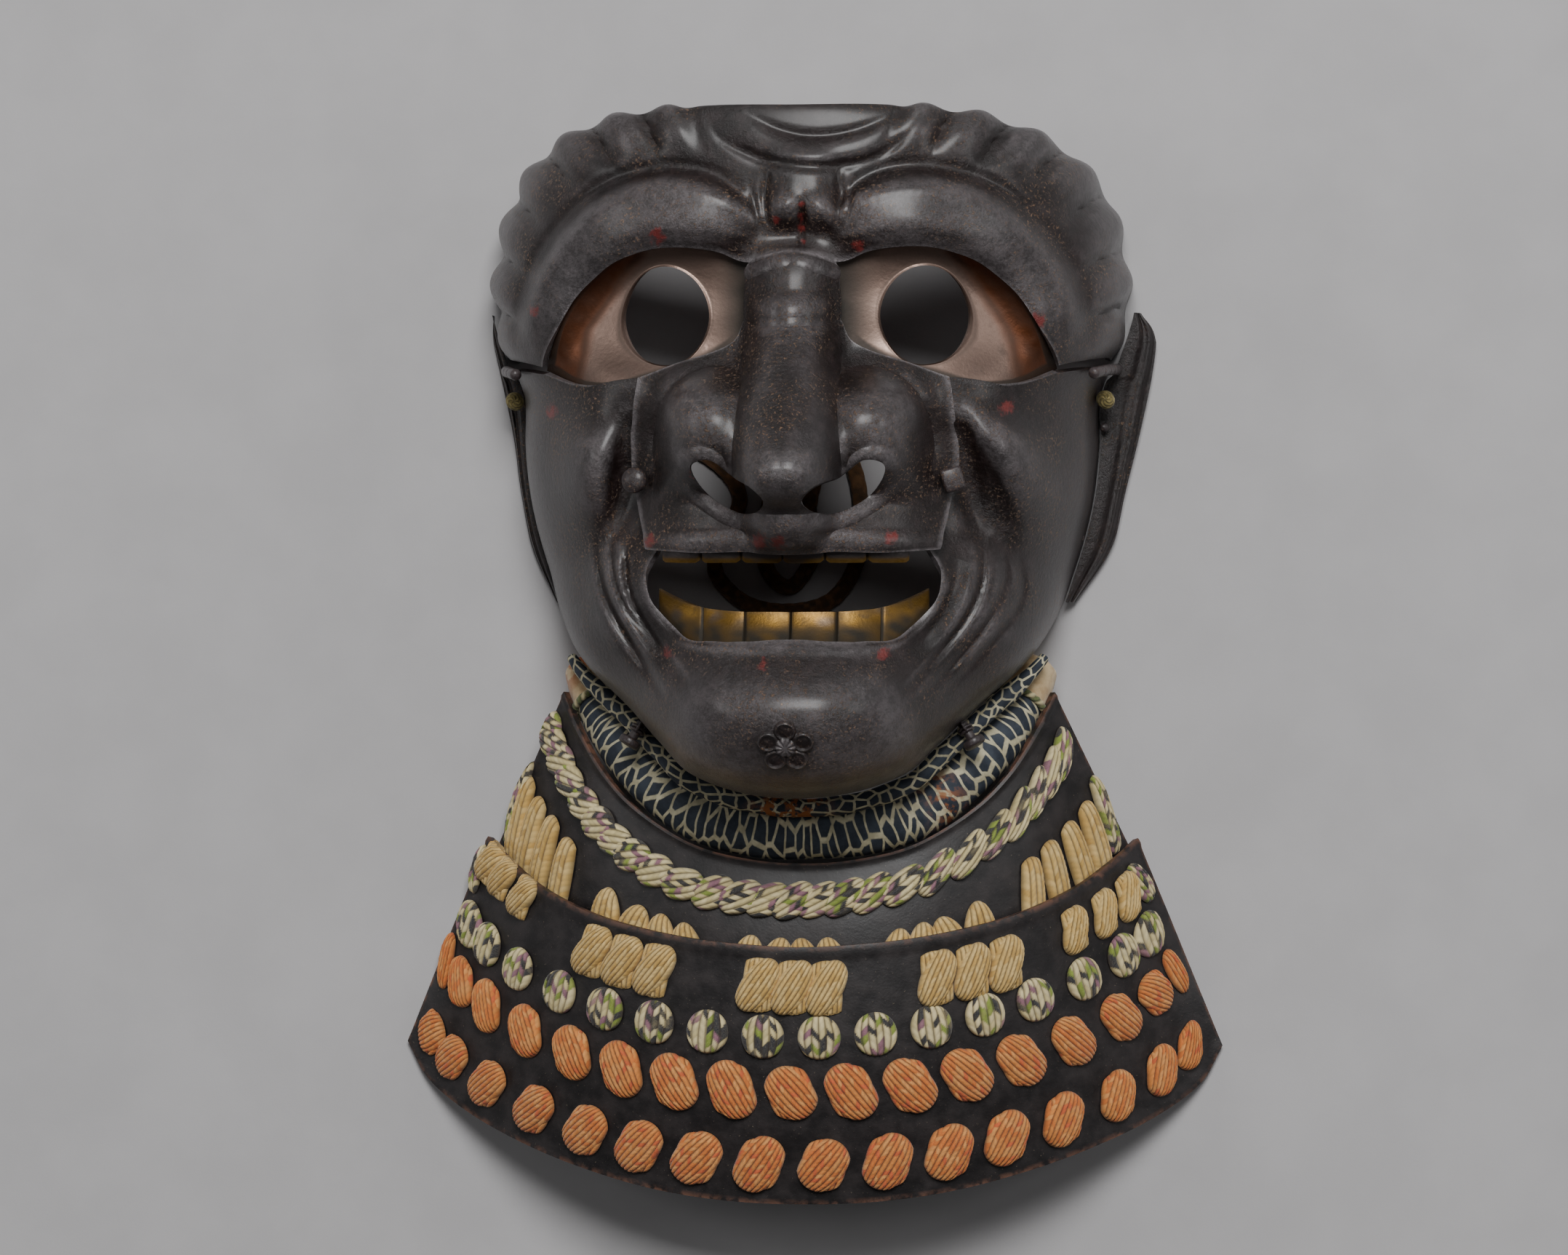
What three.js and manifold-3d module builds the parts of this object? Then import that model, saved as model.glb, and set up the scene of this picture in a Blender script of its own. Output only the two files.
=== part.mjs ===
// Iron face guard of a samurai armour with its hanging throat guard, lying
// face up on a flat surface. Millimetres, +X across the face to its left eye,
// +Y towards the forehead, +Z out of the face.
import * as THREE from 'three';
import { mergeVertices } from 'three/addons/utils/BufferGeometryUtils.js';
import Module from 'manifold-3d';

const wasm = await Module();
wasm.setup();
const { Manifold, Mesh, CrossSection } = wasm;

// Driving dimensions
const FACE_CENTRE_Y = 48;      // height of the nose tip along the face
const FACE_CREST = 74;         // crown of the face before any feature
const IRON = 1.6;              // wall of the iron plates
const FIT = 0.35;              // clearance between two fitted pieces
const NOSE_LIFT = 1.15;         // gap under the detachable nose plate
const EYE_HOLE_R = 12.1;       // round sight hole
const EYE_HOLE = { x: 34.6, y: 87.9 };
const EYE_SHEET = 1.1;         // copper sheet of the eye plates
const EYE_GAP = 1.3;            // between the sheet and the iron
const EYE_OVERLAP = 2.4;       // how far the sheet runs behind the iron
const LAME = 1.8;              // lacquered lame
const ROLL_R = 8;              // padded collar roll
const EDGE_ROLL_R = 2.5;       // thin roll between collar and jaw
const CORD_W = 4.4;
const CORD_T = 1.6;
const FLUTES = 46;             // flutes in a full turn of the brow rim
const FLUTE_H = 0.9;
const TUCK = 2;                // set-back of the cheek plate under the nose plate
const TUCK_SHARE = 0.25;

const deg = Math.PI / 180;

// Half outline of the face by angle about the nose tip (0 = the wearer's
// side, 90 = forehead, -90 = chin): reach, rim height and squareness.
const FACE_RIM = [
  // angle reach rim square
  [-90, 86, 47, 4.2], [-71, 84.5, 46, 4.0], [-63, 80.5, 42, 3.6],
  [-53, 77.5, 34, 3.0], [-39, 77.5, 25, 2.7], [-29, 76.6, 9, 2.5],
  [-20, 75.5, 0, 2.4], [-8, 76, 0, 2.4], [6, 78, 0, 2.4],
  [15, 80.6, 0, 2.4], [21, 87.4, 0, 2.4], [28, 97, 0, 2.4],
  [35, 103.5, 0, 2.4], [42, 109, 3, 2.4], [47, 110.5, 14, 2.4],
  [53, 109.5, 34, 2.3], [62, 105, 54, 2.2], [76, 97.5, 66, 2.2],
  [90, 94.5, 69, 2.2],
];

// Raised and sunk fields of the face, each kept on both sides.
const MOUNDS = [
  // x y height rx ry power
  { x: 0, y: -27, h: 30, rx: 37, ry: 27, n: 3.2 },    // chin
  { x: 0, y: 6, h: 5, rx: 34, ry: 16, n: 2 },         // lower lip
  { x: 21, y: 58, h: 19, rx: 11.5, ry: 12.5, n: 2.6 },  // nose wing
  { x: 0, y: 31, h: 11, rx: 37, ry: 15, n: 2.4 },     // upper lip
  { x: 38, y: 88, h: -7, rx: 29, ry: 15, n: 3 },      // eye socket
  { x: 35, y: 87, h: 5, rx: 17, ry: 14, n: 2 },       // eyeball
  { x: 52, y: 46, h: 6, rx: 12, ry: 16, n: 2 },       // cheek
  { x: 40, y: 44, h: -6, rx: 7, ry: 14, n: 2 },       // hollow beside the nose
  { x: 0, y: 107, h: -5, rx: 9, ry: 5, n: 2 },        // root of the nose
  { x: 0, y: 120, h: 3.5, rx: 9, ry: 8, n: 3 },       // forehead knob
  { x: 4.3, y: 114.6, h: 3.5, rx: 4, ry: 4, n: 2 },   // its two bulbs
];

// Ridges and grooves, each kept on both sides: points along the line with
// their half width and height, and how square the section is.
const STROKES = [
  { n: 3, line: [                                     // ridge of the nose
    [0, 100, 9.5, 6], [0, 86, 9.5, 10], [0, 75, 10.5, 17], [0, 63, 12, 27],
    [0, 52, 12.5, 35], [0, 44, 11.5, 34], [0, 37, 9, 15]] },
  { n: 2, line: [                                     // brow arch
    [9, 110, 5, 1], [20, 114, 7.5, 6.5], [33, 115.5, 8.5, 8], [46, 112, 8.5, 8],
    [57, 104, 8, 7.5], [65, 93, 7.5, 6.5], [68.5, 82, 7, 4]] },
  { n: 2, line: [                                     // folds round the mouth
    [43, 38, 3, 0.5], [45, 27, 3, 2.4], [45, 18, 3, 2.6], [41, 7, 3, 2.2],
    [33, -8, 3, 0.5]] },
  { n: 2, line: [
    [50, 30, 3, 0.5], [51.5, 20, 3, 2.2], [49, 8, 3, 2.2], [41, -7, 3, 0.5]] },
];

// Edge of the eye opening and of the plates round it: the brow plate's inner
// edge, each point facing an angle of the outer rim.
const BROW_EDGE = [
  // x y rim-angle
  [68.2, 75.4, 20.5], [64.3, 83.5, 27], [58.6, 92.3, 34], [51.4, 99, 41],
  [43, 103.4, 48], [34.5, 105.2, 55], [26, 105, 62], [19.3, 103.9, 69],
  [14.4, 101.9, 75], [10.8, 101.4, 80], [5.6, 102.9, 85], [0, 103.4, 90],
];
const CHEEK_EDGE = [
  // x y rim-angle
  [67.6, 73.6, 18.9], [58, 70.5, 14], [48, 70.2, 9], [38, 71.6, 4],
  [36, 72.2, 1], [37, 61, -4], [37, 48.5, -9], [35.5, 39.4, -14],
  [34, 31.5, -19], [35.2, 27.2, -23], [37.5, 23.5, -27], [38.4, 19.8, -31],
  [35.8, 12, -38], [28.2, 4.6, -49], [17.4, 3, -62], [8, 3.2, -76],
  [0, 3.6, -90],
];
const EYE_EDGE = [
  [67.6, 74.4], [58, 70.9], [48, 70.6], [38, 72], [29, 74.4], [21, 77.4],
  [15, 82], [11.9, 89], [12, 96], [15, 100.6], [20, 103], [26.5, 104.2],
  [34.5, 104.5], [43, 102.6], [51, 98.2], [58, 91.4], [63.7, 83],
];
const NOSE_TOP = [
  [0, 102.2], [6, 101.6], [10.6, 100.2], [11.4, 93], [11.6, 87], [14.4, 81.4],
  [20.6, 76.8], [29, 73.8], [39.6, 71],
];
const NOSE_SIDE = [[39.6, 71], [41.3, 61], [41.4, 48.5], [39.2, 39], [36.4, 27]];
const NOSE_FOOT = [
  [0, 27.8], [5, 27.7], [9, 27.6], [12, 27.4], [15, 27.2], [19, 27.1],
  [24, 27], [30, 27], [36.4, 27],
];
const NOSTRIL = [
  [24.6, 48.5], [24.2, 45], [20, 40], [13, 36.2], [7.5, 36], [4.8, 38.5],
  [8, 42], [13.5, 45], [19.5, 49.3],
];

// Small numeric helpers
const clamp = (v, a, b) => Math.min(b, Math.max(a, v));
const mix = (a, b, t) => a + (b - a) * t;
const mirrored = (rows) => [
  ...rows.slice(1).reverse().map(([x, ...rest]) => [-x, ...rest]), ...rows];

function spline(rows, t) {
  const last = rows.length - 1;
  const k = Math.min(Math.floor(clamp(t, 0, 1) * last), last - 1);
  const f = clamp(t, 0, 1) * last - k;
  return rows[k].map((b, i) => {
    const c = rows[k + 1][i];
    const a = k > 0 ? rows[k - 1][i] : 2 * b - c;
    const d = k + 2 <= last ? rows[k + 2][i] : 2 * c - b;
    return b + 0.5 * f * (c - a + f * (2 * a - 5 * b + 4 * c - d
      + f * (3 * (b - c) + d - a)));
  });
}

// The face as one surface
function rimAt(angle) {
  let a = angle / deg;
  a = ((((a + 90) % 360) + 360) % 360) - 180; // 0 = forehead, +-180 = chin
  const half = 90 - Math.abs(a);
  let k = FACE_RIM.findIndex((row) => row[0] >= half);
  k = clamp(k, 1, FACE_RIM.length - 1);
  const [p, q] = [FACE_RIM[k - 1], FACE_RIM[k]];
  const before = FACE_RIM[k - 2] ?? q;
  const after = FACE_RIM[k + 1] ?? p;
  const t = clamp((half - p[0]) / (q[0] - p[0]), 0, 1);
  const w = q[0] - p[0];
  return [1, 2, 3].map((i) => {
    const flat0 = k - 2 < 0;
    const flat1 = k + 1 >= FACE_RIM.length;
    const m0 = flat0 ? 0 : w * (q[i] - before[i]) / (q[0] - before[0]);
    const m1 = flat1 ? 0 : w * (after[i] - p[i]) / (after[0] - p[0]);
    const t2 = t * t;
    const t3 = t2 * t;
    return Math.max(0, (2 * t3 - 3 * t2 + 1) * p[i] + (t3 - 2 * t2 + t) * m0
      + (-2 * t3 + 3 * t2) * q[i] + (t3 - t2) * m1);
  });
}

function relief(x, y) {
  const ax = Math.abs(x);
  let h = 0;
  for (const m of MOUNDS) {
    const d = Math.abs((ax - m.x) / m.rx) ** m.n + Math.abs((y - m.y) / m.ry) ** m.n;
    h += m.h * Math.exp(-d);
  }
  for (const s of STROKES) {
    let best = 0;
    for (let i = 0; i + 1 < s.line.length; i += 1) {
      const [x0, y0, w0, h0] = s.line[i];
      const [x1, y1, w1, h1] = s.line[i + 1];
      const dx = x1 - x0;
      const dy = y1 - y0;
      const t = clamp(((ax - x0) * dx + (y - y0) * dy) / (dx * dx + dy * dy), 0, 1);
      const d = Math.hypot(ax - x0 - dx * t, y - y0 - dy * t);
      const v = mix(h0, h1, t) * Math.exp(-((d / mix(w0, w1, t)) ** s.n));
      if (Math.abs(v) > Math.abs(best)) best = v;
    }
    h += best;
  }
  return h;
}

// Point of the face for a direction and a share of the way to the rim.
function facePoint(angle, share) {
  const [reach, rim, square] = rimAt(angle);
  const turn = clamp(share, 0, 1) * 90 * deg;
  const r = reach * Math.sin(turn) ** (2 / square);
  const fall = Math.cos(turn) ** (2 / square);
  const x = r * Math.cos(angle);
  const y = FACE_CENTRE_Y + r * Math.sin(angle);
  return new THREE.Vector3(x, y, rim + (FACE_CREST + relief(x, y) - rim) * fall);
}

function faceNormal(angle, share) {
  const s = clamp(share, 0.02, 0.985);
  const du = facePoint(angle + 0.01, s).sub(facePoint(angle - 0.01, s));
  const dv = facePoint(angle, s + 0.01).sub(facePoint(angle, s - 0.01));
  return dv.cross(du).normalize();
}

// Direction and share of a place seen from the front.
function polar(x, y) {
  const dx = x;
  const dy = y - FACE_CENTRE_Y;
  const angle = Math.atan2(dy, dx);
  const [reach, , square] = rimAt(angle);
  const rho = clamp(Math.hypot(dx, dy) / reach, 0, 1);
  return [angle, Math.asin(rho ** (square / 2)) / (90 * deg)];
}

// Face surface moved along its normal, with the flutes of the brow rim.
function skin(angle, share, lift, flute = 0) {
  const n = faceNormal(angle, share);
  if (share > 0.97) n.setZ(0).normalize();
  const wave = flute * Math.cos(FLUTES * angle)
    * clamp((share - 0.62) / 0.3, 0, 1) * (Math.abs(angle / deg - 90) > 16 ? 1 : 0);
  return facePoint(angle, share).addScaledVector(n, lift + wave);
}

// Solids from grids
function toMesh(name, positions, index, finish) {
  const geometry = new THREE.BufferGeometry();
  geometry.setAttribute('position', new THREE.Float32BufferAttribute(positions, 3));
  geometry.setIndex(index);
  let volume = 0;
  const a = new THREE.Vector3();
  const b = new THREE.Vector3();
  const c = new THREE.Vector3();
  for (let i = 0; i < index.length; i += 3) {
    a.fromArray(positions, index[i] * 3);
    b.fromArray(positions, index[i + 1] * 3);
    c.fromArray(positions, index[i + 2] * 3);
    volume += a.dot(b.cross(c));
  }
  if (volume < 0) {
    for (let i = 0; i < index.length; i += 3) {
      [index[i], index[i + 1]] = [index[i + 1], index[i]];
    }
    geometry.setIndex(index);
  }
  geometry.computeVertexNormals();
  const mesh = new THREE.Mesh(geometry, finish);
  mesh.name = name;
  return mesh;
}

// A sheet with a front and a back, both functions of (u, v) in 0..1.
function sheet(name, finish, front, back, nu, nv, ring = false) {
  const positions = [];
  const cols = ring ? nu : nu + 1;
  for (const side of [front, back]) {
    for (let i = 0; i < cols; i += 1) {
      for (let j = 0; j <= nv; j += 1) positions.push(...side(i / nu, j / nv));
    }
  }
  const half = cols * (nv + 1);
  const at = (side, i, j) => side * half + (i % cols) * (nv + 1) + j;
  const index = [];
  const quad = (p, q, r, s) => index.push(p, q, r, p, r, s);
  for (let i = 0; i < nu; i += 1) {
    for (let j = 0; j < nv; j += 1) {
      quad(at(0, i, j), at(0, i + 1, j), at(0, i + 1, j + 1), at(0, i, j + 1));
      quad(at(1, i, j + 1), at(1, i + 1, j + 1), at(1, i + 1, j), at(1, i, j));
    }
    quad(at(1, i, 0), at(1, i + 1, 0), at(0, i + 1, 0), at(0, i, 0));
    quad(at(0, i, nv), at(0, i + 1, nv), at(1, i + 1, nv), at(1, i, nv));
  }
  if (!ring) {
    for (let j = 0; j < nv; j += 1) {
      quad(at(0, 0, j), at(0, 0, j + 1), at(1, 0, j + 1), at(1, 0, j));
      quad(at(1, nu, j), at(1, nu, j + 1), at(0, nu, j + 1), at(0, nu, j));
    }
  }
  return toMesh(name, positions, index, finish);
}

// A closed body swept along a path. radius(t, turn) gives the half width and
// half height of its section, whose height points along `up`.
function sweep(name, finish, centre, radius, steps, sides, up = new THREE.Vector3(0, 0, 1)) {
  const positions = [];
  for (let i = 0; i <= steps; i += 1) {
    const t = i / steps;
    const p = centre(t);
    const tangent = centre(Math.min(1, t + 0.01)).sub(centre(Math.max(0, t - 0.01))).normalize();
    const upward = typeof up === 'function' ? up(t) : up.clone();
    const across = new THREE.Vector3().crossVectors(tangent, upward).normalize();
    const normal = new THREE.Vector3().crossVectors(across, tangent).normalize();
    for (let k = 0; k < sides; k += 1) {
      const turn = (k / sides) * 2 * Math.PI;
      const [rx, ry] = radius(t, turn);
      positions.push(...p.clone().addScaledVector(across, rx * Math.cos(turn))
        .addScaledVector(normal, ry * Math.sin(turn)));
    }
  }
  const index = [];
  for (let i = 0; i < steps; i += 1) {
    for (let k = 0; k < sides; k += 1) {
      const a = i * sides + k;
      const b = i * sides + (k + 1) % sides;
      index.push(a, b, b + sides, a, b + sides, a + sides);
    }
  }
  for (const end of [0, steps]) {
    for (let k = 1; k + 1 < sides; k += 1) {
      const o = end * sides;
      if (end === 0) index.push(o, o + k + 1, o + k);
      else index.push(o, o + k, o + k + 1);
    }
  }
  return toMesh(name, positions, index, finish);
}

function toManifold(mesh) {
  const g = mesh.geometry;
  return Manifold.ofMesh(new Mesh({
    numProp: 3,
    vertProperties: new Float32Array(g.attributes.position.array),
    triVerts: new Uint32Array(g.index.array),
  }));
}

function fromManifold(name, solid, finish) {
  const m = solid.getMesh();
  return toMesh(name, Array.from(m.vertProperties), Array.from(m.triVerts), finish);
}

// Finishes
const finish = (color, roughness, metalness) => new THREE.MeshStandardMaterial(
  { color, roughness, metalness, side: THREE.DoubleSide });
const russetIron = finish(0x3b3135, 0.45, 0.4);
const copper = finish(0x9c8577, 0.4, 0.8);
const gilt = finish(0x9a7a3c, 0.45, 0.7);
const darkIron = finish(0x2f2a2c, 0.5, 0.5);
const blackLacquer = finish(0x242022, 0.3, 0.05);
const fibre = finish(0x7c7048, 0.9, 0);
const brownCord = finish(0x6b4a28, 0.9, 0);
const stencilLeather = finish(0x4a4c50, 0.7, 0);
const suede = finish(0xb59a72, 0.9, 0);
const braid = finish(0xb3ab88, 0.9, 0);
const beigeBraid = finish(0xc9b58a, 0.9, 0);

const guard = new THREE.Group();
guard.name = 'samurai_face_guard';

// Brow, cheek and nose plates
// Edge rows as direction, share and rim angle, with the other half added.
function bothSides(edge, turn) {
  const rows = edge.map(([x, y, rim]) => {
    const [angle, share] = polar(x, y);
    return [angle / deg, share, rim];
  });
  const other = rows.slice(0, -1).reverse()
    .map(([angle, share, rim]) => [turn - angle, share, turn - rim]);
  return [...rows, ...other];
}

// The strip between an inner edge and the rim of the face, IRON thick.
function rimPlate(name, rows, nu, nv, { flute = 0, tuck = () => 0 } = {}) {
  const place = (u, v, lift) => {
    const [angle, share, rim] = spline(rows, u);
    return skin(mix(angle, rim, v) * deg, mix(share, 1, v), lift - tuck(rim, v), flute);
  };
  return sheet(name, russetIron, (u, v) => place(u, v, 0), (u, v) => {
    const back = place(u, v, -IRON);
    if (v === 1) back.z = place(u, v, 0).z;      // the rim is square to the floor
    return back;
  }, nu, nv);
}

// The cheek plate steps back where the nose plate covers it.
function underNosePlate(rim, v) {
  const down = rim > -90 ? rim : -180 - rim;
  return TUCK * clamp((12 - Math.abs(down + 11)) / 5, 0, 1) * clamp(1 - v / TUCK_SHARE, 0, 1);
}

guard.add(rimPlate('brow_plate', bothSides(BROW_EDGE, 180), 66, 6, { flute: FLUTE_H }));
guard.add(rimPlate('cheek_plate', bothSides(CHEEK_EDGE, -180), 56, 7,
  { tuck: underNosePlate }));

// Patch between four edges, for the nose plate.
const noseTop = mirrored(NOSE_TOP);
const noseFoot = mirrored(NOSE_FOOT);
function nosePatch(u, v) {
  const top = spline(noseTop, u);
  const foot = spline(noseFoot, u);
  const [sx, sy] = spline(NOSE_SIDE, v);
  const corners = [[-39.6, 71], [39.6, 71], [-36.4, 27], [36.4, 27]];
  return [0, 1].map((i) => {
    const left = i === 0 ? -sx : sy;
    const right = i === 0 ? sx : sy;
    const straight = (1 - u) * (1 - v) * corners[0][i] + u * (1 - v) * corners[1][i]
      + (1 - u) * v * corners[2][i] + u * v * corners[3][i];
    return (1 - v) * top[i] + v * foot[i] + (1 - u) * left + u * right - straight;
  });
}
const nose = (u, v, lift) => {
  const [angle, share] = polar(...nosePatch(u, v));
  return skin(angle, share, lift);
};
const noseShell = sheet('nose_shell', russetIron,
  (u, v) => nose(u, v, NOSE_LIFT + IRON), (u, v) => nose(u, v, NOSE_LIFT), 22, 13);
const nostrils = [1, -1].map((side) => {
  const outline = NOSTRIL.map(([x, y]) => [x * side, y]);
  if (side > 0) outline.reverse();
  return Manifold.extrude(new CrossSection([outline]), 90).translate([0, 0, 50]);
});
guard.add(fromManifold('nose_plate',
  toManifold(noseShell).subtract(nostrils[0]).subtract(nostrils[1]), russetIron));

// Eye plates
for (const side of [1, -1]) {
  const ring = (u, v, lift) => {
    const [ex, ey] = spline([...EYE_EDGE, EYE_EDGE[0]], u);
    const reach = Math.hypot(ex - EYE_HOLE.x, ey - EYE_HOLE.y);
    const ox = ex + (ex - EYE_HOLE.x) / reach * EYE_OVERLAP;
    const oy = ey + (ey - EYE_HOLE.y) / reach * EYE_OVERLAP;
    const turn = Math.atan2(ey - EYE_HOLE.y, ex - EYE_HOLE.x);
    const ix = EYE_HOLE.x + EYE_HOLE_R * Math.cos(turn);
    const iy = EYE_HOLE.y + EYE_HOLE_R * Math.sin(turn);
    const [angle, share] = polar(mix(ix, ox, v), mix(iy, oy, v));
    const p = skin(angle, share, -IRON - EYE_GAP - lift);
    p.x *= side;
    return p;
  };
  guard.add(sheet(side > 0 ? 'eye_plate_right' : 'eye_plate_left', copper,
    (u, v) => ring(u, v, 0), (u, v) => ring(u, v, EYE_SHEET), 24, 3, true));
}

// Teeth
const TEETH = 1.1;
const UPPER_TEETH = { half: 31.5, top: 30, foot: 24.4, lift: NOSE_LIFT - 0.6, notch: 1.1 };
const LOWER_TEETH = { half: 34.5, top: 11.2, foot: 0.4, lift: -IRON - 0.7 };

function teethStrip(name, color, top, foot, half, lift, count, notch) {
  const place = (u, v, depth) => {
    const x = mix(-half, half, u);
    const bend = (x / half) ** 2;
    const gap = notch * Math.max(0, 1 - 6 * Math.abs(((u * count + 0.5) % 1) - 0.5));
    const y = mix(top(bend), foot(bend) + gap, v);
    const [angle, share] = polar(x, y);
    const n = faceNormal(angle, share);
    return facePoint(angle, share).addScaledVector(n, lift - depth);
  };
  return sheet(name, color, (u, v) => place(u, v, 0), (u, v) => place(u, v, TEETH), 24, 2);
}
guard.add(teethStrip('upper_teeth', gilt, () => UPPER_TEETH.top, () => UPPER_TEETH.foot,
  UPPER_TEETH.half, UPPER_TEETH.lift, 6, UPPER_TEETH.notch));
guard.add(teethStrip('lower_teeth', gilt, (b) => LOWER_TEETH.top + 3.4 * b * b,
  (b) => LOWER_TEETH.foot + 3.5 * b * b, LOWER_TEETH.half, LOWER_TEETH.lift, 6, 0));

// Small iron fittings
// A round or squarish stud with its stem, standing on the face at (x, y).
function stud(name, color, x, y, base, rows, sides = 12) {
  const [angle, share] = polar(x, y);
  const n = faceNormal(angle, share);
  const foot = facePoint(angle, share).addScaledVector(n, base);
  const profile = rows.map(([r, h]) => new THREE.Vector2(r, h));
  const g = new THREE.LatheGeometry(profile, sides);
  g.deleteAttribute('normal');
  g.deleteAttribute('uv');
  g.applyQuaternion(new THREE.Quaternion().setFromUnitVectors(
    new THREE.Vector3(0, 1, 0), n));
  g.translate(foot.x, foot.y, foot.z);
  const merged = mergeVertices(g, 1e-4);
  return toMesh(name, Array.from(merged.attributes.position.array),
    tidy(merged), color);
}
// Drops the triangles that a lathe leaves with no area on its axis.
function tidy(g) {
  const index = Array.from(g.index.array);
  const out = [];
  for (let i = 0; i < index.length; i += 3) {
    const [a, b, c] = index.slice(i, i + 3);
    if (a !== b && b !== c && a !== c) out.push(a, b, c);
  }
  return out;
}

const HOOKS = { x: 40.3, y: 44.6 };
const HOOK_GAP = 1.5;           // the plate bends under the foot of the hook
const hookProfile = [[0, 0], [1.7, 0], [1.7, 1.3], [3.1, 1.6], [3.2, 2.7], [2.1, 3.6], [0, 3.9]];
const PLATE_TOP = NOSE_LIFT + IRON;
guard.add(stud('nose_hook_right', darkIron, HOOKS.x, HOOKS.y, PLATE_TOP + HOOK_GAP,
  hookProfile, 8));
guard.add(stud('nose_hook_left', darkIron, -HOOKS.x, HOOKS.y, PLATE_TOP + HOOK_GAP,
  hookProfile, 8));

// Five round rimmed petals about a fluted boss.
const FLOWER = { y: -23.4, petal: 2.9, ring: 4.7, boss: 2.6, tall: 1.0 };
{
  const [angle, share] = polar(0, FLOWER.y);
  const n = faceNormal(angle, share);
  const petals = Array.from({ length: 5 }, (_, k) => {
    const turn = (90 + 72 * k) * deg;
    return CrossSection.circle(FLOWER.petal, 10)
      .translate([FLOWER.ring * Math.cos(turn), FLOWER.ring * Math.sin(turn)]);
  });
  const outline = petals.reduce((a, b) => a.add(b), CrossSection.circle(FLOWER.boss, 10));
  const disc = outline.extrude(FLOWER.tall).add(
    Manifold.cylinder(FLOWER.tall + 0.7, FLOWER.boss, FLOWER.boss * 0.7, 10));
  const m = fromManifold('chin_flower', disc, darkIron);
  m.geometry.applyQuaternion(new THREE.Quaternion().setFromUnitVectors(
    new THREE.Vector3(0, 0, 1), n));
  const p = facePoint(angle, share).addScaledVector(n, FIT);
  m.geometry.translate(p.x, p.y, p.z);
  guard.add(m);
}

// Hinge barrels along the seam at each temple.
const HINGE = { from: 0.74, to: 0.94, r: 1.5, angle: 19.7, lift: 2.2 };
// Pegs under the jaw that the cords of the helmet are wound on.
const PEG = { angle: -57.5, drop: 4.5, reach: 1.4, out: 7.4 };
// Fibre cord knotted at the temple.
const KNOT = { angle: 14.6, share: 0.9, r: 2.3 };
for (const side of [1, -1]) {
  const label = side > 0 ? 'right' : 'left';
  guard.add(sweep(`temple_hinge_${label}`, darkIron,
    (t) => {
      const p = skin(HINGE.angle * deg, mix(HINGE.from, HINGE.to, t), HINGE.lift);
      p.x *= side;
      return p;
    }, () => [HINGE.r, HINGE.r], 5, 8));

  const knot = skin(KNOT.angle * deg, KNOT.share, KNOT.r + FIT);
  const ball = new THREE.SphereGeometry(KNOT.r, 10, 7);
  ball.deleteAttribute('normal');
  ball.deleteAttribute('uv');
  ball.scale(1, 1, 1.1);
  ball.translate(knot.x * side, knot.y, knot.z);
  const round = mergeVertices(ball, 1e-4);
  guard.add(toMesh(`cord_knot_${label}`, Array.from(round.attributes.position.array),
    tidy(round), fibre));

  const root = facePoint(PEG.angle * deg, 1);
  const out = new THREE.Vector3(Math.cos(PEG.angle * deg), Math.sin(PEG.angle * deg), 0.15)
    .normalize();
  const pegRows = [[0, 0], [1.3, 0], [1.3, 4.6], [3, 5.2], [3.1, 6.6], [1.9, 7.3], [0, 7.4]];
  const peg = new THREE.LatheGeometry(pegRows.map(([r, h]) => new THREE.Vector2(r, h)), 10);
  peg.deleteAttribute('normal');
  peg.deleteAttribute('uv');
  peg.applyQuaternion(new THREE.Quaternion().setFromUnitVectors(new THREE.Vector3(0, 1, 0), out));
  peg.translate(root.x + out.x * FIT, root.y + out.y * FIT, root.z + PEG.drop);
  if (side < 0) peg.scale(-1, 1, 1);
  const pegSolid = mergeVertices(peg, 1e-4);
  guard.add(toMesh(`chin_peg_${label}`, Array.from(pegSolid.attributes.position.array),
    tidy(pegSolid), darkIron));
}

// Ears: leaf-like iron plates outside the jaw rims
const EAR_ROWS = [
  // y outer-x on the wearer's left, outer-x on the other side (bent in)
  [91.5, 90.6, 86.9], [86, 92.9, 87.4], [75, 91.9, 85.1], [58.4, 88.4, 81.6],
  [43.8, 84.8, 79.6], [27, 80.8, 76.2], [13.5, 73.4, 70.8],
];
const EAR = { inner: 6.2, outer: 2.6, gap: 0.5, thick: 1.2 };
for (const side of [1, -1]) {
  const edge = (u, v, drop) => {
    const [y, wide, narrow] = spline(EAR_ROWS, u);
    const z = mix(EAR.inner, EAR.outer, v) + 1.1 * Math.sin(Math.PI * v);
    // the wall of the face at this height above the rim
    let angle = Math.atan2(y - FACE_CENTRE_Y, 84);
    for (let k = 0; k < 6; k += 1) {
      angle = Math.atan2(y - FACE_CENTRE_Y, facePoint(angle, 1).x);
    }
    const wall = facePoint(angle, 1).x + EAR.gap + (y > 74 ? 1.2 : 0);
    const tip = Math.sin(Math.PI * clamp(0.06 + 0.88 * u, 0, 1)) ** 0.5;
    const x = wall + (side > 0 ? wide - wall : narrow - wall) * v * Math.min(1, tip * 1.2);
    return new THREE.Vector3(x * side, y, z - drop);
  };
  guard.add(sheet(side > 0 ? 'ear_right' : 'ear_left', russetIron,
    (u, v) => edge(u, v, 0), (u, v) => edge(u, v, EAR.thick), 14, 2));
}

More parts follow.
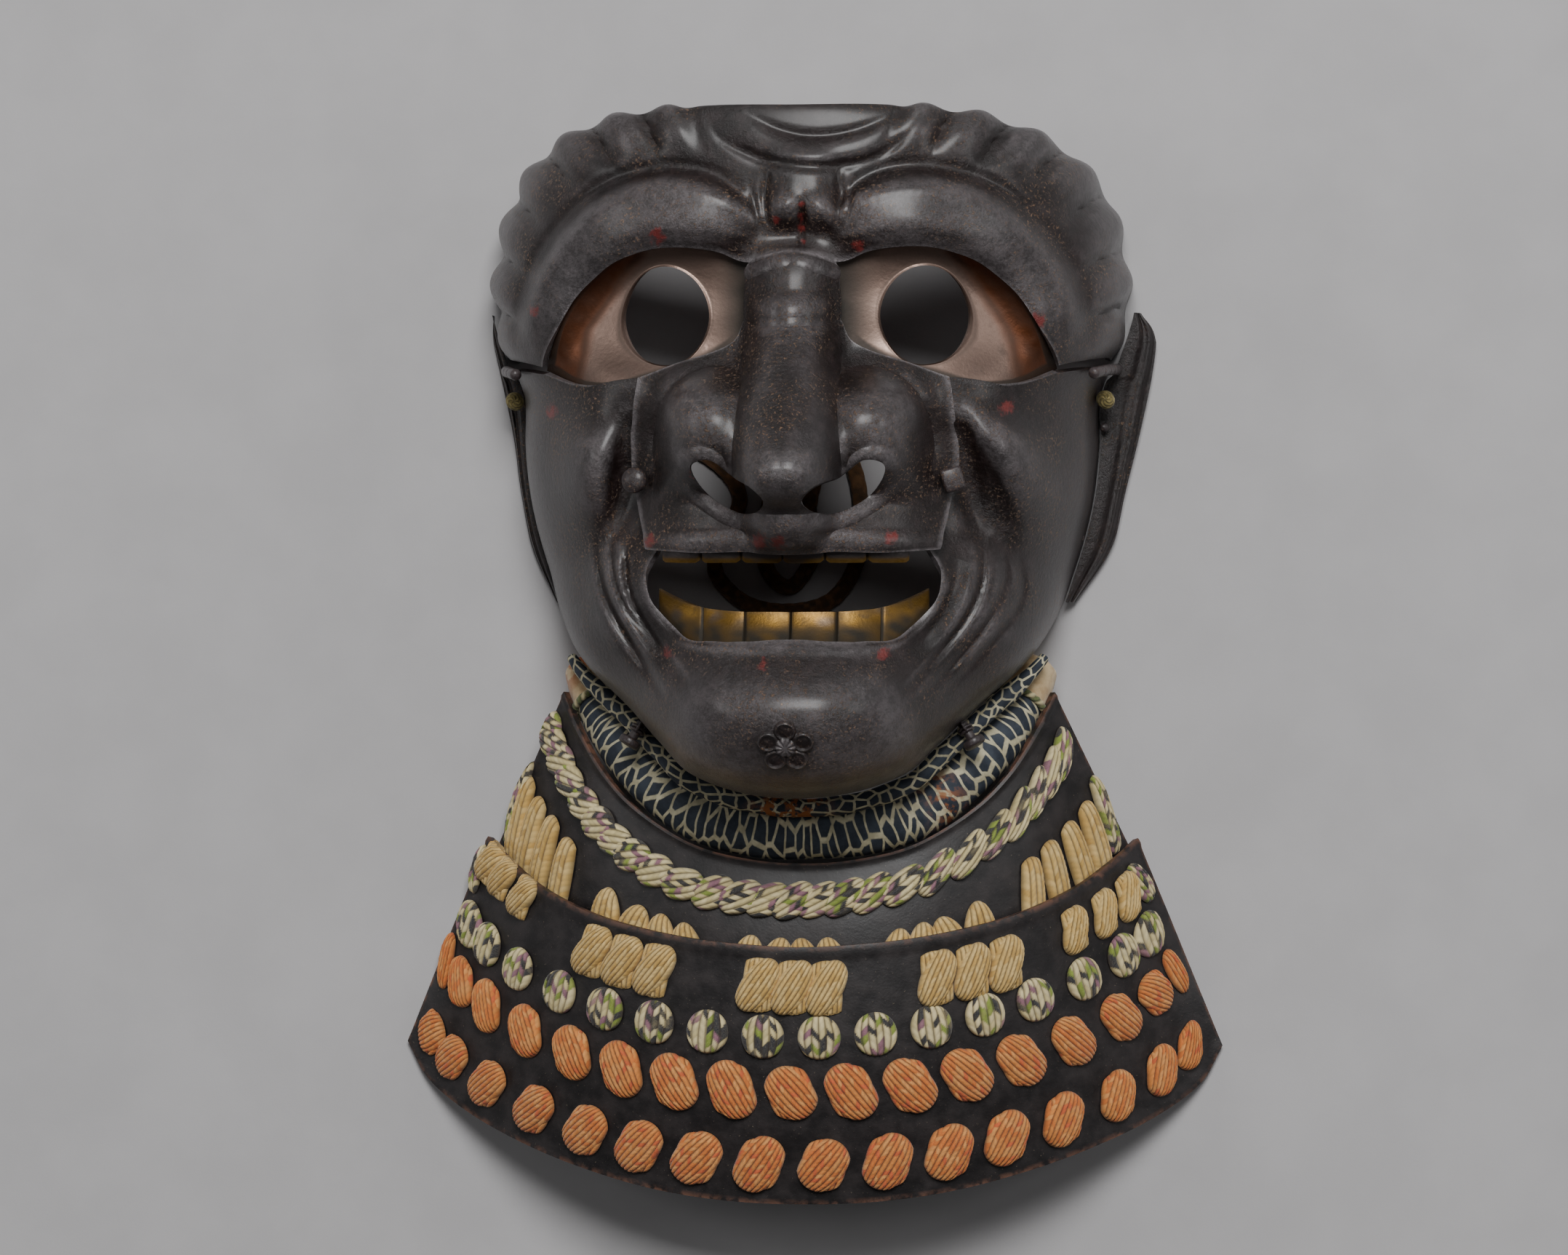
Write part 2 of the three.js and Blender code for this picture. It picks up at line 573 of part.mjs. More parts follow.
// Cord inside the mask
const CORD_PATH = [
  [-74.9, 65.2, 5.6], [-71, 64, 2.4], [-62, 61, 1.3], [-48, 58, 1.3], [-30, 54, 1.3], [-20, 42, 1.3],
  [-26.8, 25, 1.3], [-22.5, 16.3, 1.3], [-14, 11.8, 1.3], [-3, 11.4, 1.3],
  [6, 15, 1.3], [12, 25, 1.3], [13, 40, 1.3], [10, 52, 1.3], [3, 52, 1.3],
  [-1, 40, 1.3], [-0.4, 26, 1.3], [-6.5, 17.6, 1.3], [-13, 24, 1.3],
  [-12, 40, 1.3], [-6, 56, 1.3], [10, 64, 1.3], [36, 68, 1.3], [62, 66, 1.3],
  [71, 65, 2.4], [74.9, 65.2, 5.6],
];
const CORD_STEPS = 44;
const cordSection = new THREE.Shape(Array.from({ length: 8 }, (_, k) => {
  const turn = (k + 0.5) * Math.PI / 4;
  return new THREE.Vector2(Math.cos(turn) * CORD_W / 2, Math.sin(turn) * CORD_T / 2);
}));
{
  const route = new THREE.CatmullRomCurve3(CORD_PATH.map((p) => new THREE.Vector3(...p)),
    false, 'catmullrom');
  const tube = new THREE.ExtrudeGeometry(cordSection, { steps: CORD_STEPS, extrudePath: route });
  tube.deleteAttribute('normal');
  tube.deleteAttribute('uv');
  const whole = mergeVertices(tube, 1e-4);
  guard.add(toMesh('tying_cord', Array.from(whole.attributes.position.array),
    Array.from(whole.index.array), brownCord));
}

// Collar roll and its thin companion
const ROLL_PATH = mirrored([
  [0, -47.2, 36.7], [15.5, -46.2, 36.2], [30, -41.7, 33], [42.5, -31.6, 27],
  [51.8, -20.5, 20], [57, -9.5, 13.4], [59.2, -2, 9.2],
]);
const ROLL_CAP = 0.07;
const rollRound = (t) => {
  const end = Math.min(t, 1 - t);
  return ROLL_R * Math.sqrt(clamp(1 - (1 - clamp(end / 0.05, 0, 1)) ** 2, 0.12, 1));
};
const rollPart = (name, color, from, to, steps) => sweep(name, color,
  (t) => new THREE.Vector3(...spline(ROLL_PATH, mix(from, to, t))),
  (t) => { const r = rollRound(mix(from, to, t)); return [r, r]; }, steps, 10);
guard.add(rollPart('collar_roll', stencilLeather, ROLL_CAP, 1 - ROLL_CAP, 24));
guard.add(rollPart('collar_cap_left', suede, 0, ROLL_CAP - 0.003, 4));
guard.add(rollPart('collar_cap_right', suede, 1 - ROLL_CAP + 0.003, 1, 4));
guard.add(sweep('collar_edge_roll', stencilLeather,
  (t) => {
    const angle = mix(-142, -38, t) * deg;
    const p = facePoint(angle, 1);
    const r = EDGE_ROLL_R + FIT;
    return new THREE.Vector3(p.x + r * Math.cos(angle), p.y + r * Math.sin(angle), p.z - 1.2);
  }, (t) => {
    const r = EDGE_ROLL_R * (0.55 + 0.45 * Math.min(1, 12 * Math.min(t, 1 - t)));
    return [r, r];
  }, 24, 6));

// Throat guard: two lacquered lames
const UPPER_TOP = mirrored([
  [0, -55.8, 39.8], [14.8, -54.6, 39.4], [29.8, -50.6, 37.4], [44.6, -41.6, 33],
  [54.4, -31.6, 28], [61.8, -19.6, 22.5], [66, -10.6, 18],
]);
const UPPER_FOOT = mirrored([
  [0, -90, 43], [17, -89, 42.2], [34, -86, 39], [51, -80, 32.5], [66, -72.4, 23],
  [78.5, -63, 10.5], [86.5, -54, 2.6],
]);
const LOWER_TOP = mirrored([
  [0, -77.2, 53.5], [14.5, -76.5, 53], [29.2, -75, 50.6], [44.3, -72.3, 45.6],
  [57.9, -68.6, 38], [72, -62.4, 26.5], [82.5, -55, 14.5], [88, -50, 6.6],
]);
const LOWER_FOOT = mirrored([
  [0, -145.3, 46], [19.3, -144.6, 45.2], [37.8, -142.3, 41.6], [55, -138.5, 35],
  [73, -133, 25.5], [91, -125.5, 12.8], [104.5, -116.5, 3.6], [110.8, -106, 1.9],
]);
const UPPER_BULGE = 1.5;
const LOWER_BULGE = 2.5;
const lamePoint = (top, foot, bulge) => (u, v) => {
  const a = spline(top, u);
  const b = spline(foot, u);
  const p = new THREE.Vector3(...a.map((c, i) => mix(c, b[i], v)));
  p.z += bulge * Math.sin(Math.PI * v) * Math.sin(Math.PI * u);
  return p;
};
const upperLame = lamePoint(UPPER_TOP, UPPER_FOOT, UPPER_BULGE);
const lowerLame = lamePoint(LOWER_TOP, LOWER_FOOT, LOWER_BULGE);
const lifted = (surface, u, v, lift) => {
  const e = 0.004;
  const [u0, v0] = [clamp(u, e, 1 - e), clamp(v, e, 1 - e)];
  const du = surface(u0 + e, v0).sub(surface(u0 - e, v0));
  const dv = surface(u0, v0 + e).sub(surface(u0, v0 - e));
  return surface(u, v).addScaledVector(dv.cross(du).normalize(), lift);
};
for (const [name, surface] of [['upper_lame', upperLame], ['lower_lame', lowerLame]]) {
  guard.add(sheet(name, blackLacquer, (u, v) => lifted(surface, u, v, 0),
    (u, v) => lifted(surface, u, v, -LAME), 32, 2));
}

// Silk lacing
// Where a place seen from the front lies on a lame.
function onLame(surface, x, y) {
  let [u, v] = [0.5 + x / 220, 0.5];
  for (let k = 0; k < 30; k += 1) {
    const p = surface(u, v);
    const e = 0.01;
    const pu = surface(clamp(u + e, 0, 1), v).sub(surface(clamp(u - e, 0, 1), v));
    const pv = surface(u, v + e).sub(surface(u, v - e)).divideScalar(2 * e);
    pu.divideScalar(clamp(u + e, 0, 1) - clamp(u - e, 0, 1));
    const det = pu.x * pv.y - pu.y * pv.x;
    const [dx, dy] = [x - p.x, y - p.y];
    u = clamp(u + 0.8 * (dx * pv.y - dy * pv.x) / det, 0, 1);
    v += 0.8 * (pu.x * dy - pu.y * dx) / det;
  }
  return [u, v];
}
// A low pad of braid between four corners of a lame, crowned in the middle.
function pad(name, color, surface, quad, tall, nu, nv, ribs = 0) {
  const corner = quad.map(([x, y]) => onLame(surface, x, y));
  const at = (u, v) => [0, 1].map((i) => mix(mix(corner[0][i], corner[1][i], u),
    mix(corner[3][i], corner[2][i], u), v));
  const crown = (u, v) => tall * (0.45 + 0.55 * (Math.sin(Math.PI * u) * Math.sin(Math.PI * v))
    ** 0.4) - (ribs ? 0.22 * tall * (1 + Math.cos(2 * Math.PI * ribs * u)) : 0);
  return sheet(name, color, (u, v) => lifted(surface, ...at(u, v), FIT + crown(u, v)),
    (u, v) => lifted(surface, ...at(u, v), FIT), nu, nv);
}

const BRAID_ROW = mirrored([
  [0, -66.6], [15.5, -65.8], [30.5, -62.4], [45.5, -55.6], [56, -45.5],
  [62.5, -34], [66.5, -22.5], [69.6, -16.5],
]);
guard.add(sweep('lacing_row_upper', braid,
  (t) => {
    const [x, y] = spline(BRAID_ROW, t);
    return lifted(upperLame, ...onLame(upperLame, x, y), 2 + FIT);
  }, () => [4.2, 1.9], 30, 6,
  (t) => {
    const [x, y] = spline(BRAID_ROW, t);
    const [u, v] = onLame(upperLame, x, y);
    return lifted(upperLame, u, v, 1).sub(upperLame(u, v));
  }));
const SIDE_LACING = [[83.6, -33.6], [56.6, -60], [60, -69], [85.5, -50.4]];
const BEIGE_GROUPS = {
  outer: [[75, -70.5], [91, -58.5], [93.5, -66.5], [77.5, -77.5]],
  inner: [[35, -79.6], [59, -72.6], [61.5, -82.6], [37.5, -91]],
};
for (const side of [1, -1]) {
  const label = side > 0 ? 'right' : 'left';
  const flip = (quad) => (side > 0 ? quad : quad.map(([x, y]) => [-x, y]));
  guard.add(pad(`side_lacing_${label}`, beigeBraid, upperLame, flip(SIDE_LACING), 4.3, 15, 2, 5));
  guard.add(pad(`lace_knots_outer_${label}`, beigeBraid, lowerLame,
    flip(BEIGE_GROUPS.outer), 3, 9, 3, 3));
  guard.add(pad(`lace_knots_inner_${label}`, beigeBraid, lowerLame,
    flip(BEIGE_GROUPS.inner), 3, 9, 3, 3));
}
guard.add(pad('lace_knots_centre', beigeBraid, lowerLame,
  [[-13.4, -82], [13.4, -82], [13.4, -95], [-13.4, -95]], 3, 9, 3, 3));

// The origin is the middle of the footprint, on the floor.
const bounds = new THREE.Box3().setFromObject(guard);
guard.position.set(-(bounds.min.x + bounds.max.x) / 2, -(bounds.min.y + bounds.max.y) / 2,
  -bounds.min.z);

export default guard;
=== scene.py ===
import logging
import math
from dataclasses import dataclass, field
from enum import Enum
from functools import cache
from typing import Callable, Iterable, Sequence

import bpy
import mathutils
import numpy as np
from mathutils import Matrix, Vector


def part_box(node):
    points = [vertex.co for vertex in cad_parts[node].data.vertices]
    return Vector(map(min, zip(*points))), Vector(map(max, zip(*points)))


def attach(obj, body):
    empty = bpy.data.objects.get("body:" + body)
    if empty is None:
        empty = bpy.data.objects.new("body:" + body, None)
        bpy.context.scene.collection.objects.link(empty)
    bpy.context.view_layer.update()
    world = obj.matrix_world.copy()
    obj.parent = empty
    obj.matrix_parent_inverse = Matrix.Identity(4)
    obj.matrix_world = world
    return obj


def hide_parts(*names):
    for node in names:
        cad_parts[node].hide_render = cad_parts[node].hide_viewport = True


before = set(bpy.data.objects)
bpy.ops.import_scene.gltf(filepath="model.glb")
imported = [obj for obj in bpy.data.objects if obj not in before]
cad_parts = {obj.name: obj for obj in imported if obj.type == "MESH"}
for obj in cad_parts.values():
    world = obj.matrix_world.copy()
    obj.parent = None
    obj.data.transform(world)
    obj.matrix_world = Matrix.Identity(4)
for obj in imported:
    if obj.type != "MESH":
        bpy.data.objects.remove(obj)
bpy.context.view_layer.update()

Array = np.ndarray
Marks = dict[str, np.ndarray]
LOG = logging.getLogger("face_guard")
MM = 0.001
DEG = math.pi / 180.0
SIDES = ((1, "right"), (-1, "left"))
# step of u, v, share or direction over which a slope is read
STEP = 0.004

# camera: above the guard, leaning a little towards +X
VIEW_DISTANCE = 1.5
VIEW_LEAN = 4.5 * DEG
VIEW_TARGET = (-3.3, 6.7, 60.0)
LENS, SENSOR = 131.82, 36.0

# driving dimensions shared with the CAD
FACE_CENTRE_Y = 48.0     # where the directions of the face start
FACE_CREST = 74.0        # height there, without the relief
IRON = 1.6               # thickness of a face plate
FIT = 0.35               # gap between pieces that touch
NOSE_LIFT = 1.15         # underside of the nose plate over the face
EYE_HOLE_R = 12.1
EYE_HOLE = (34.6, 87.9)
EYE_SHEET = 1.1          # thickness of an eye plate
EYE_GAP = 1.3            # between the iron and the eye plate
EYE_OVERLAP = 2.4        # of the eye plate behind the iron
LAME = 1.8               # thickness of a lame
FLUTES = 46              # flutes in a whole turn of the brow rim
FLUTE_H = 0.9
LOWER_FOOT_Y = -145.3
# from the tables' origin to the frame's
SHIFT_Y = float(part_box("lower_lame")[0][1]) / MM - LOWER_FOOT_Y

# Half outline of the face by angle about the nose tip.
FACE_RIM = np.array([
    # angle reach rim square
    (-90, 86, 47, 4.2), (-71, 84.5, 46, 4.0), (-63, 80.5, 42, 3.6),
    (-53, 77.5, 34, 3.0), (-39, 77.5, 25, 2.7), (-29, 76.6, 9, 2.5),
    (-20, 75.5, 0, 2.4), (-8, 76, 0, 2.4), (6, 78, 0, 2.4),
    (15, 80.6, 0, 2.4), (21, 87.4, 0, 2.4), (28, 97, 0, 2.4),
    (35, 103.5, 0, 2.4), (42, 109, 3, 2.4), (47, 110.5, 14, 2.4),
    (53, 109.5, 34, 2.3), (62, 105, 54, 2.2), (76, 97.5, 66, 2.2),
    (90, 94.5, 69, 2.2)], dtype=float)

# Raised and sunk fields, on both sides of the face.
MOUNDS = (
    # x y height rx ry power
    (0, -27, 30, 37, 27, 3.2),       # chin
    (0, 6, 5, 34, 16, 2),            # lower lip
    (20.5, 57, 20, 11, 12.5, 2.8),   # nose wing
    (0, 31, 11, 37, 15, 2.4),        # upper lip
    (38, 88, -7, 29, 15, 3),         # eye socket
    (35, 87, 5, 17, 14, 2),          # eyeball
    (52, 46, 6, 12, 16, 2),          # cheek
    (40, 44, -5, 7, 14, 2),          # hollow beside the nose
    (0, 107, -5, 9, 5, 2),           # root of the nose
)
# Fields on one side only, with the sign of x.
ONE_SIDE_MOUNDS = (
    # x y height rx ry power
    (2.4, 121, 4.6, 8, 9, 3.4),        # forehead knob
    (-2.4, 114.4, 3.4, 4.2, 4.2, 2.2),  # its two bulbs
    (7.6, 114.4, 3.4, 4.2, 4.2, 2.2),
    (-55, 49, 4.6, 9, 13, 2.6),        # cheek that catches the light
    (-46, 39, -5.5, 6.5, 12, 2.2),     # hollow inside it
    (50, 38, -7.5, 7, 13, 2.2),
)

# Ridges and grooves: power of the section, then x y half-width height.
STROKES = (
    (3.4, ((0, 100, 9.2, 6), (0, 86, 8.6, 10), (0, 75, 9.4, 17), (0, 63, 10.6, 27),
           (0, 52, 11.2, 35), (0, 44, 10.8, 34), (0, 37, 8.6, 15))),
    (3.6, ((9, 109, 5, 1), (19, 112.5, 8, 6), (29, 114.2, 9.4, 8), (38, 114, 9.6, 8.4),
           (48, 110.6, 9.4, 8.2), (57.5, 103, 9, 7.6), (65, 93, 8.4, 6.4),
           (70, 82, 7.4, 4))),
    (2, ((43, 38, 3, 0.5), (46.5, 27, 3.4, 2.4), (46.5, 18, 3.4, 2.8), (42, 7, 3.4, 2.4),
         (33, -8, 3, 0.5))),
    (2, ((50, 30, 3, 0.5), (52.5, 20, 3.4, 2.2), (50, 8, 3.4, 2.2), (41, -7, 3, 0.5))),
)

# Finer modelling that only the visible meshes carry, on both sides.
FINE_STROKES = (
    (2, ((10.2, 76, 1.3, -0.3), (11.4, 66, 1.5, -2.4), (11.8, 54, 1.5, -3.0),
         (11.4, 45, 1.4, -2.0))),                                    # beside the ridge
    (2, ((25.5, 50, 1.6, 1.0), (20, 50.5, 1.6, 1.6), (13, 45.5, 1.5, 1.2),
         (8.5, 42.5, 1.3, 0.5))),                                    # rim over the nostril
    (2, ((25, 44, 1.3, 0.5), (20, 38.4, 1.4, 1.0), (13, 34.6, 1.4, 1.0),
         (6.5, 34.2, 1.2, 0.6))),                                    # rim under it
    (2, ((33.5, 46, 1.8, -1.0), (34, 57, 2.0, -2.4), (30.5, 66, 2.0, -2.2),
         (22, 71.5, 2.0, -1.2), (14, 71, 1.6, -0.4))),               # round the wing
    (2, ((0, 29.3, 1.6, 1.1), (20, 29, 1.6, 1.1), (36, 28.6, 1.6, 0.7))),   # lip edge
    (2, ((1.5, 100.5, 0.9, 0.7), (9.5, 98.5, 0.9, 0.7))),
    (2, ((0, 82.6, 1.1, -1.0), (5, 83.4, 1.1, -1.0), (10, 86, 1.0, -0.4))),  # crease
    (2.4, ((0, 88.4, 2.6, 1.2), (5, 89, 2.2, 0.9), (9, 91, 1.6, 0.2))),      # fold over it
    (2, ((12, 106, 1.2, -0.4), (22, 107.6, 1.2, -0.5), (34, 108.2, 1.2, -0.4),
         (46, 105.5, 1.2, -0.4))),
    (2, ((43.5, 58, 2.4, -1.0), (45.5, 44, 2.8, -2.2), (47, 32, 2.6, -1.4))),
    (2, ((11, 116, 1.6, -0.5), (20, 124.2, 2.0, -1.9), (32.5, 126.6, 2.2, -2.4),
         (48.5, 123.2, 2.2, -2.4), (61, 114.9, 2.2, -2.4), (71.2, 102.2, 2.2, -2.2),
         (75.6, 88, 2.0, -1.8), (75.4, 77, 1.6, -0.6))),             # outside the brow band
    (2, ((14, 115, 2.0, 0.5), (21, 119.6, 2.4, 1.0), (32.5, 121.6, 2.6, 1.3),
         (46.5, 118.4, 2.6, 1.3), (57.5, 110.6, 2.6, 1.3), (66.6, 99.6, 2.4, 1.2),
         (70.6, 87, 2.0, 1.0), (70.4, 78, 1.6, 0.4))),               # its proud upper side
    (2, ((37, 24, 1.6, 1.0), (39.4, 18.6, 1.6, 1.3), (36, 10, 1.6, 1.3), (28, 2.6, 1.6, 1.2),
         (15, 1.2, 1.6, 1.2), (0, 1.6, 1.6, 1.2))),                  # rim of the mouth
)
# The same on one side only, with the sign of x.
ONE_SIDE_STROKES = (
    # forehead: inner and outer crescent
    (2, ((-11.7, 140, 1.2, -0.4), (-3.5, 135.8, 1.3, -1.5), (5.7, 134, 1.4, -1.8),
         (16.6, 135.8, 1.3, -1.5), (27.6, 140.4, 1.2, -0.4))),
    (2.6, ((-17, 139.5, 2.6, 0.6), (-7.5, 132.6, 3.2, 1.9), (4, 130, 3.4, 2.2),
           (16, 131, 3.4, 2.2), (25, 135.6, 3.0, 1.6), (30.5, 140, 2.4, 0.5))),
    (2, ((-22.4, 139.2, 1.2, -0.3), (-18.9, 133.6, 1.3, -0.9), (-10.7, 129.1, 1.4, -1.3),
         (-1.6, 126.6, 1.4, -1.4), (9.4, 126, 1.4, -1.4), (20.4, 128.2, 1.4, -1.2),
         (27.6, 132.7, 1.3, -0.9), (32.3, 138.3, 1.2, -0.3))),
    # furrows at the root of the nose
    (2, ((-7, 124, 1.2, -0.8), (-7.4, 118, 1.3, -1.8), (-6.4, 111.6, 1.2, -0.9))),
    (2, ((12, 124, 1.2, -0.8), (12.4, 118, 1.3, -1.8), (11.4, 111.6, 1.2, -0.9))),
    (2, ((-10.8, 121, 0.9, -0.3), (-9.8, 115, 1.0, -1.1), (-8.4, 110, 0.9, -0.3))),
    (2, ((15.6, 121, 0.9, -0.3), (14.6, 115, 1.0, -1.1), (13.2, 110, 0.9, -0.3))),
    (2, ((2.6, 117.6, 0.9, -0.6), (2.6, 113, 1.1, -2.2), (2.2, 108, 0.8, -1.2),
         (2.6, 103.6, 0.7, -0.6))),
    # cheek ridge on the +X side
    (2.4, ((42, 62.5, 4, 1.2), (50, 58.5, 5.4, 4.6), (57, 52, 6.6, 6.8), (61, 43, 7, 6.4),
           (61, 34, 6, 2))),
    # wrinkles beside the mouth
    (2, ((-52.2, 29.5, 1.1, -0.7), (-51.4, 18.5, 1.2, -2.4), (-47.3, 9.1, 1.2, -2.4),
         (-39.4, -3.1, 1.2, -2.0), (-33.6, -11.5, 1.0, -0.4))),
    (2, ((-48.4, 31, 0.9, -0.6), (-47.6, 20.4, 1.0, -1.7), (-43.7, 11, 1.0, -1.8),
         (-36.2, 0.6, 1.0, -1.0), (-32, -5, 0.9, -0.3))),
    (2, ((-44.6, 29.5, 1.1, -0.7), (-44, 18.5, 1.2, -2.4), (-40.3, 9.1, 1.2, -2.4),
         (-32.8, -1.2, 1.1, -1.7), (-27, -8, 1.0, -0.4))),
    (2, ((48.4, 29, 1.1, -0.7), (48.4, 18.5, 1.2, -2.4), (44.6, 9.1, 1.2, -2.4),
         (37, -1.2, 1.1, -1.8), (30.5, -9.6, 1.0, -0.4))),
    (2, ((54, 25, 1.0, -0.6), (54.4, 18.5, 1.1, -2.1), (50.6, 9.1, 1.1, -2.1),
         (43.7, -0.3, 1.1, -1.7), (34.6, -10.4, 0.9, -0.4))),
    (2, ((57.8, 24, 1.0, -0.6), (58.8, 16.6, 1.1, -2.0), (55.9, 9.1, 1.1, -2.1),
         (48.4, -0.3, 1.1, -1.7), (39, -10.6, 0.9, -0.4))),
)

BROW_EDGE = (
    # x y rim-angle
    (68.2, 75.4, 20.5), (64.3, 83.5, 27), (58.6, 92.3, 34), (51.4, 99, 41),
    (43, 103.4, 48), (34.5, 105.2, 55), (26, 105, 62), (19.3, 103.9, 69),
    (14.4, 101.9, 75), (10.8, 101.4, 80), (5.6, 102.9, 85), (0, 103.4, 90))
CHEEK_EDGE = (
    (67.6, 73.6, 18.9), (58, 70.5, 14), (48, 70.2, 9), (38, 71.6, 4),
    (36, 72.2, 1), (37, 61, -4), (37, 48.5, -9), (35.5, 39.4, -14),
    (34, 31.5, -19), (35.2, 27.2, -23), (37.5, 23.5, -27), (38.4, 19.8, -31),
    (35.8, 12, -38), (28.2, 4.6, -49), (17.4, 3, -62), (8, 3.2, -76), (0, 3.6, -90))
EYE_EDGE = (
    (67.6, 74.4), (58, 70.9), (48, 70.6), (38, 72), (29, 74.4), (21, 77.4),
    (15, 82), (11.9, 89), (12, 96), (15, 100.6), (20, 103), (26.5, 104.2),
    (34.5, 104.5), (43, 102.6), (51, 98.2), (58, 91.4), (63.7, 83))
NOSE_TOP = (
    (0, 102.2), (6, 101.6), (10.2, 100.2), (10.4, 93), (10.8, 87), (14.0, 81.2),
    (20.6, 76.8), (29, 73.8), (39.6, 71))
NOSE_SIDE = ((39.6, 71), (41.3, 61), (41.4, 48.5), (39.2, 39), (36.4, 27))
NOSE_FOOT = (
    (0, 27.8), (5, 27.7), (9, 27.6), (12, 27.4), (15, 27.2), (19, 27.1),
    (24, 27), (30, 27), (36.4, 27))
NOSTRIL = (
    (24.6, 48.5), (24.2, 45), (20, 40), (13, 36.2), (7.5, 36), (4.8, 38.5),
    (8, 42), (13.5, 45), (19.5, 49.3))

UPPER_TOP = (
    (0, -55.8, 39.8), (14.8, -54.6, 39.4), (29.8, -50.6, 37.4), (44.6, -41.6, 33),
    (54.4, -31.6, 28), (61.8, -19.6, 22.5), (66, -10.6, 18))
UPPER_FOOT = (
    (0, -90, 43), (17, -89, 42.2), (34, -86, 39), (51, -80, 32.5), (66, -72.4, 23),
    (78.5, -63, 10.5), (86.5, -54, 2.6))
LOWER_TOP = (
    (0, -77.2, 53.5), (14.5, -76.5, 53), (29.2, -75, 50.6), (44.3, -72.3, 45.6),
    (57.9, -68.6, 38), (72, -62.4, 26.5), (82.5, -55, 14.5), (88, -50, 6.6))
LOWER_FOOT = (
    (0, LOWER_FOOT_Y, 46), (19.3, -144.6, 45.2), (37.8, -142.3, 41.6),
    (55, -138.5, 35), (73, -133, 25.5), (91, -125.5, 12.8), (104.5, -116.5, 3.6),
    (110.8, -106, 1.9))
UPPER_BULGE, LOWER_BULGE = 1.5, 2.5
ROLL_PATH = (
    (0, -47.2, 36.7), (15.5, -46.2, 36.2), (30, -41.7, 33), (42.5, -31.6, 27),
    (51.8, -20.5, 20), (57, -9.5, 13.4), (59.2, -2, 9.2))
CORD_PATH = (
    (-74.9, 65.2, 5.6), (-71, 64, 2.4), (-62, 61, 1.3), (-48, 58, 1.3), (-30, 54, 1.3),
    (-20, 42, 1.3), (-26.8, 25, 1.3), (-22.5, 16.3, 1.3), (-14, 11.8, 1.3),
    (-3, 11.4, 1.3), (6, 15, 1.3), (12, 25, 1.3), (13, 40, 1.3), (10, 52, 1.3),
    (3, 52, 1.3), (-1, 40, 1.3), (-0.4, 26, 1.3), (-6.5, 17.6, 1.3),
    (-13, 24, 1.3), (-12, 40, 1.3), (-6, 56, 1.3), (10, 64, 1.3), (36, 68, 1.3),
    (62, 66, 1.3), (71, 65, 2.4), (74.9, 65.2, 5.6))


# curves and fields
def mirrored(rows: Sequence[Sequence[float]]) -> Array:
    """Adds the other half of a table that starts on the middle line.

    Args:
        rows: rows whose first column is x, from x = 0 outwards.

    Returns:
        The whole table, from -x to +x.
    """
    half = np.array(rows, dtype=float)
    other = half[1:][::-1].copy()
    other[:, 0] *= -1
    return np.vstack([other, half])


def spline(rows: Array, t: Array) -> Array:
    """Points of an even Catmull-Rom curve through a table.

    Args:
        rows: the table, one point to a row.
        t: places along it, 0 to 1, of any shape.

    Returns:
        Array of t's shape with the table's columns last.
    """
    rows = np.asarray(rows, dtype=float)
    last = len(rows) - 1
    s = np.clip(t, 0, 1) * last
    k = np.minimum(np.floor(s).astype(int), last - 1)
    f = (s - k)[..., None]
    padded = np.vstack([2 * rows[0] - rows[1], rows, 2 * rows[-1] - rows[-2]])
    a, b, c, d = (padded[k + i] for i in range(4))
    return b + 0.5 * f * (c - a + f * (2 * a - 5 * b + 4 * c - d + f * (3 * (b - c) + d - a)))


def unit(v: Array) -> Array:
    """Vectors of length one along the last axis."""
    return v / np.maximum(np.linalg.norm(v, axis=-1, keepdims=True), 1e-9)


def smooth(x: Array, low: float, high: float) -> Array:
    """0 at low, 1 at high, smooth between."""
    t = np.clip((x - low) / (high - low), 0, 1)
    return t * t * (3 - 2 * t)


def ripple(points: Array, scale: float, seed: int) -> Array:
    """Smooth pseudo-random field of about -1 to 1 over points in millimetres."""
    rng = np.random.default_rng(seed)
    total = np.zeros(points.shape[:-1])
    for k in range(7):
        direction = rng.normal(size=points.shape[-1])
        direction *= (0.6 + 0.25 * k) / (scale * np.linalg.norm(direction))
        total += np.sin(points @ direction * 2 * math.pi + rng.uniform(0, 6.28)) / (1 + 0.3 * k)
    return total / 3.2


# the face as one surface
def rim_at(angle: Array) -> tuple[Array, Array, Array]:
    """Reach, rim height and squareness of the face in a direction (radians)."""
    turned = np.mod(angle / DEG + 90, 360) - 180
    half = 90 - np.abs(turned)
    xs = FACE_RIM[:, 0]
    k = np.clip(np.searchsorted(xs, half), 1, len(xs) - 1)
    p, q = FACE_RIM[k - 1], FACE_RIM[k]
    slope = np.zeros_like(FACE_RIM)
    slope[1:-1] = (FACE_RIM[2:] - FACE_RIM[:-2]) / (xs[2:] - xs[:-2])[:, None]
    w = (q[..., 0] - p[..., 0])[..., None]
    t = np.clip((half - p[..., 0]) / w[..., 0], 0, 1)[..., None]
    out = ((2 * t ** 3 - 3 * t ** 2 + 1) * p + (t ** 3 - 2 * t ** 2 + t) * w * slope[k - 1]
           + (-2 * t ** 3 + 3 * t ** 2) * q + (t ** 3 - t ** 2) * w * slope[k])
    out = np.maximum(out, 0)
    return out[..., 1], out[..., 2], out[..., 3]


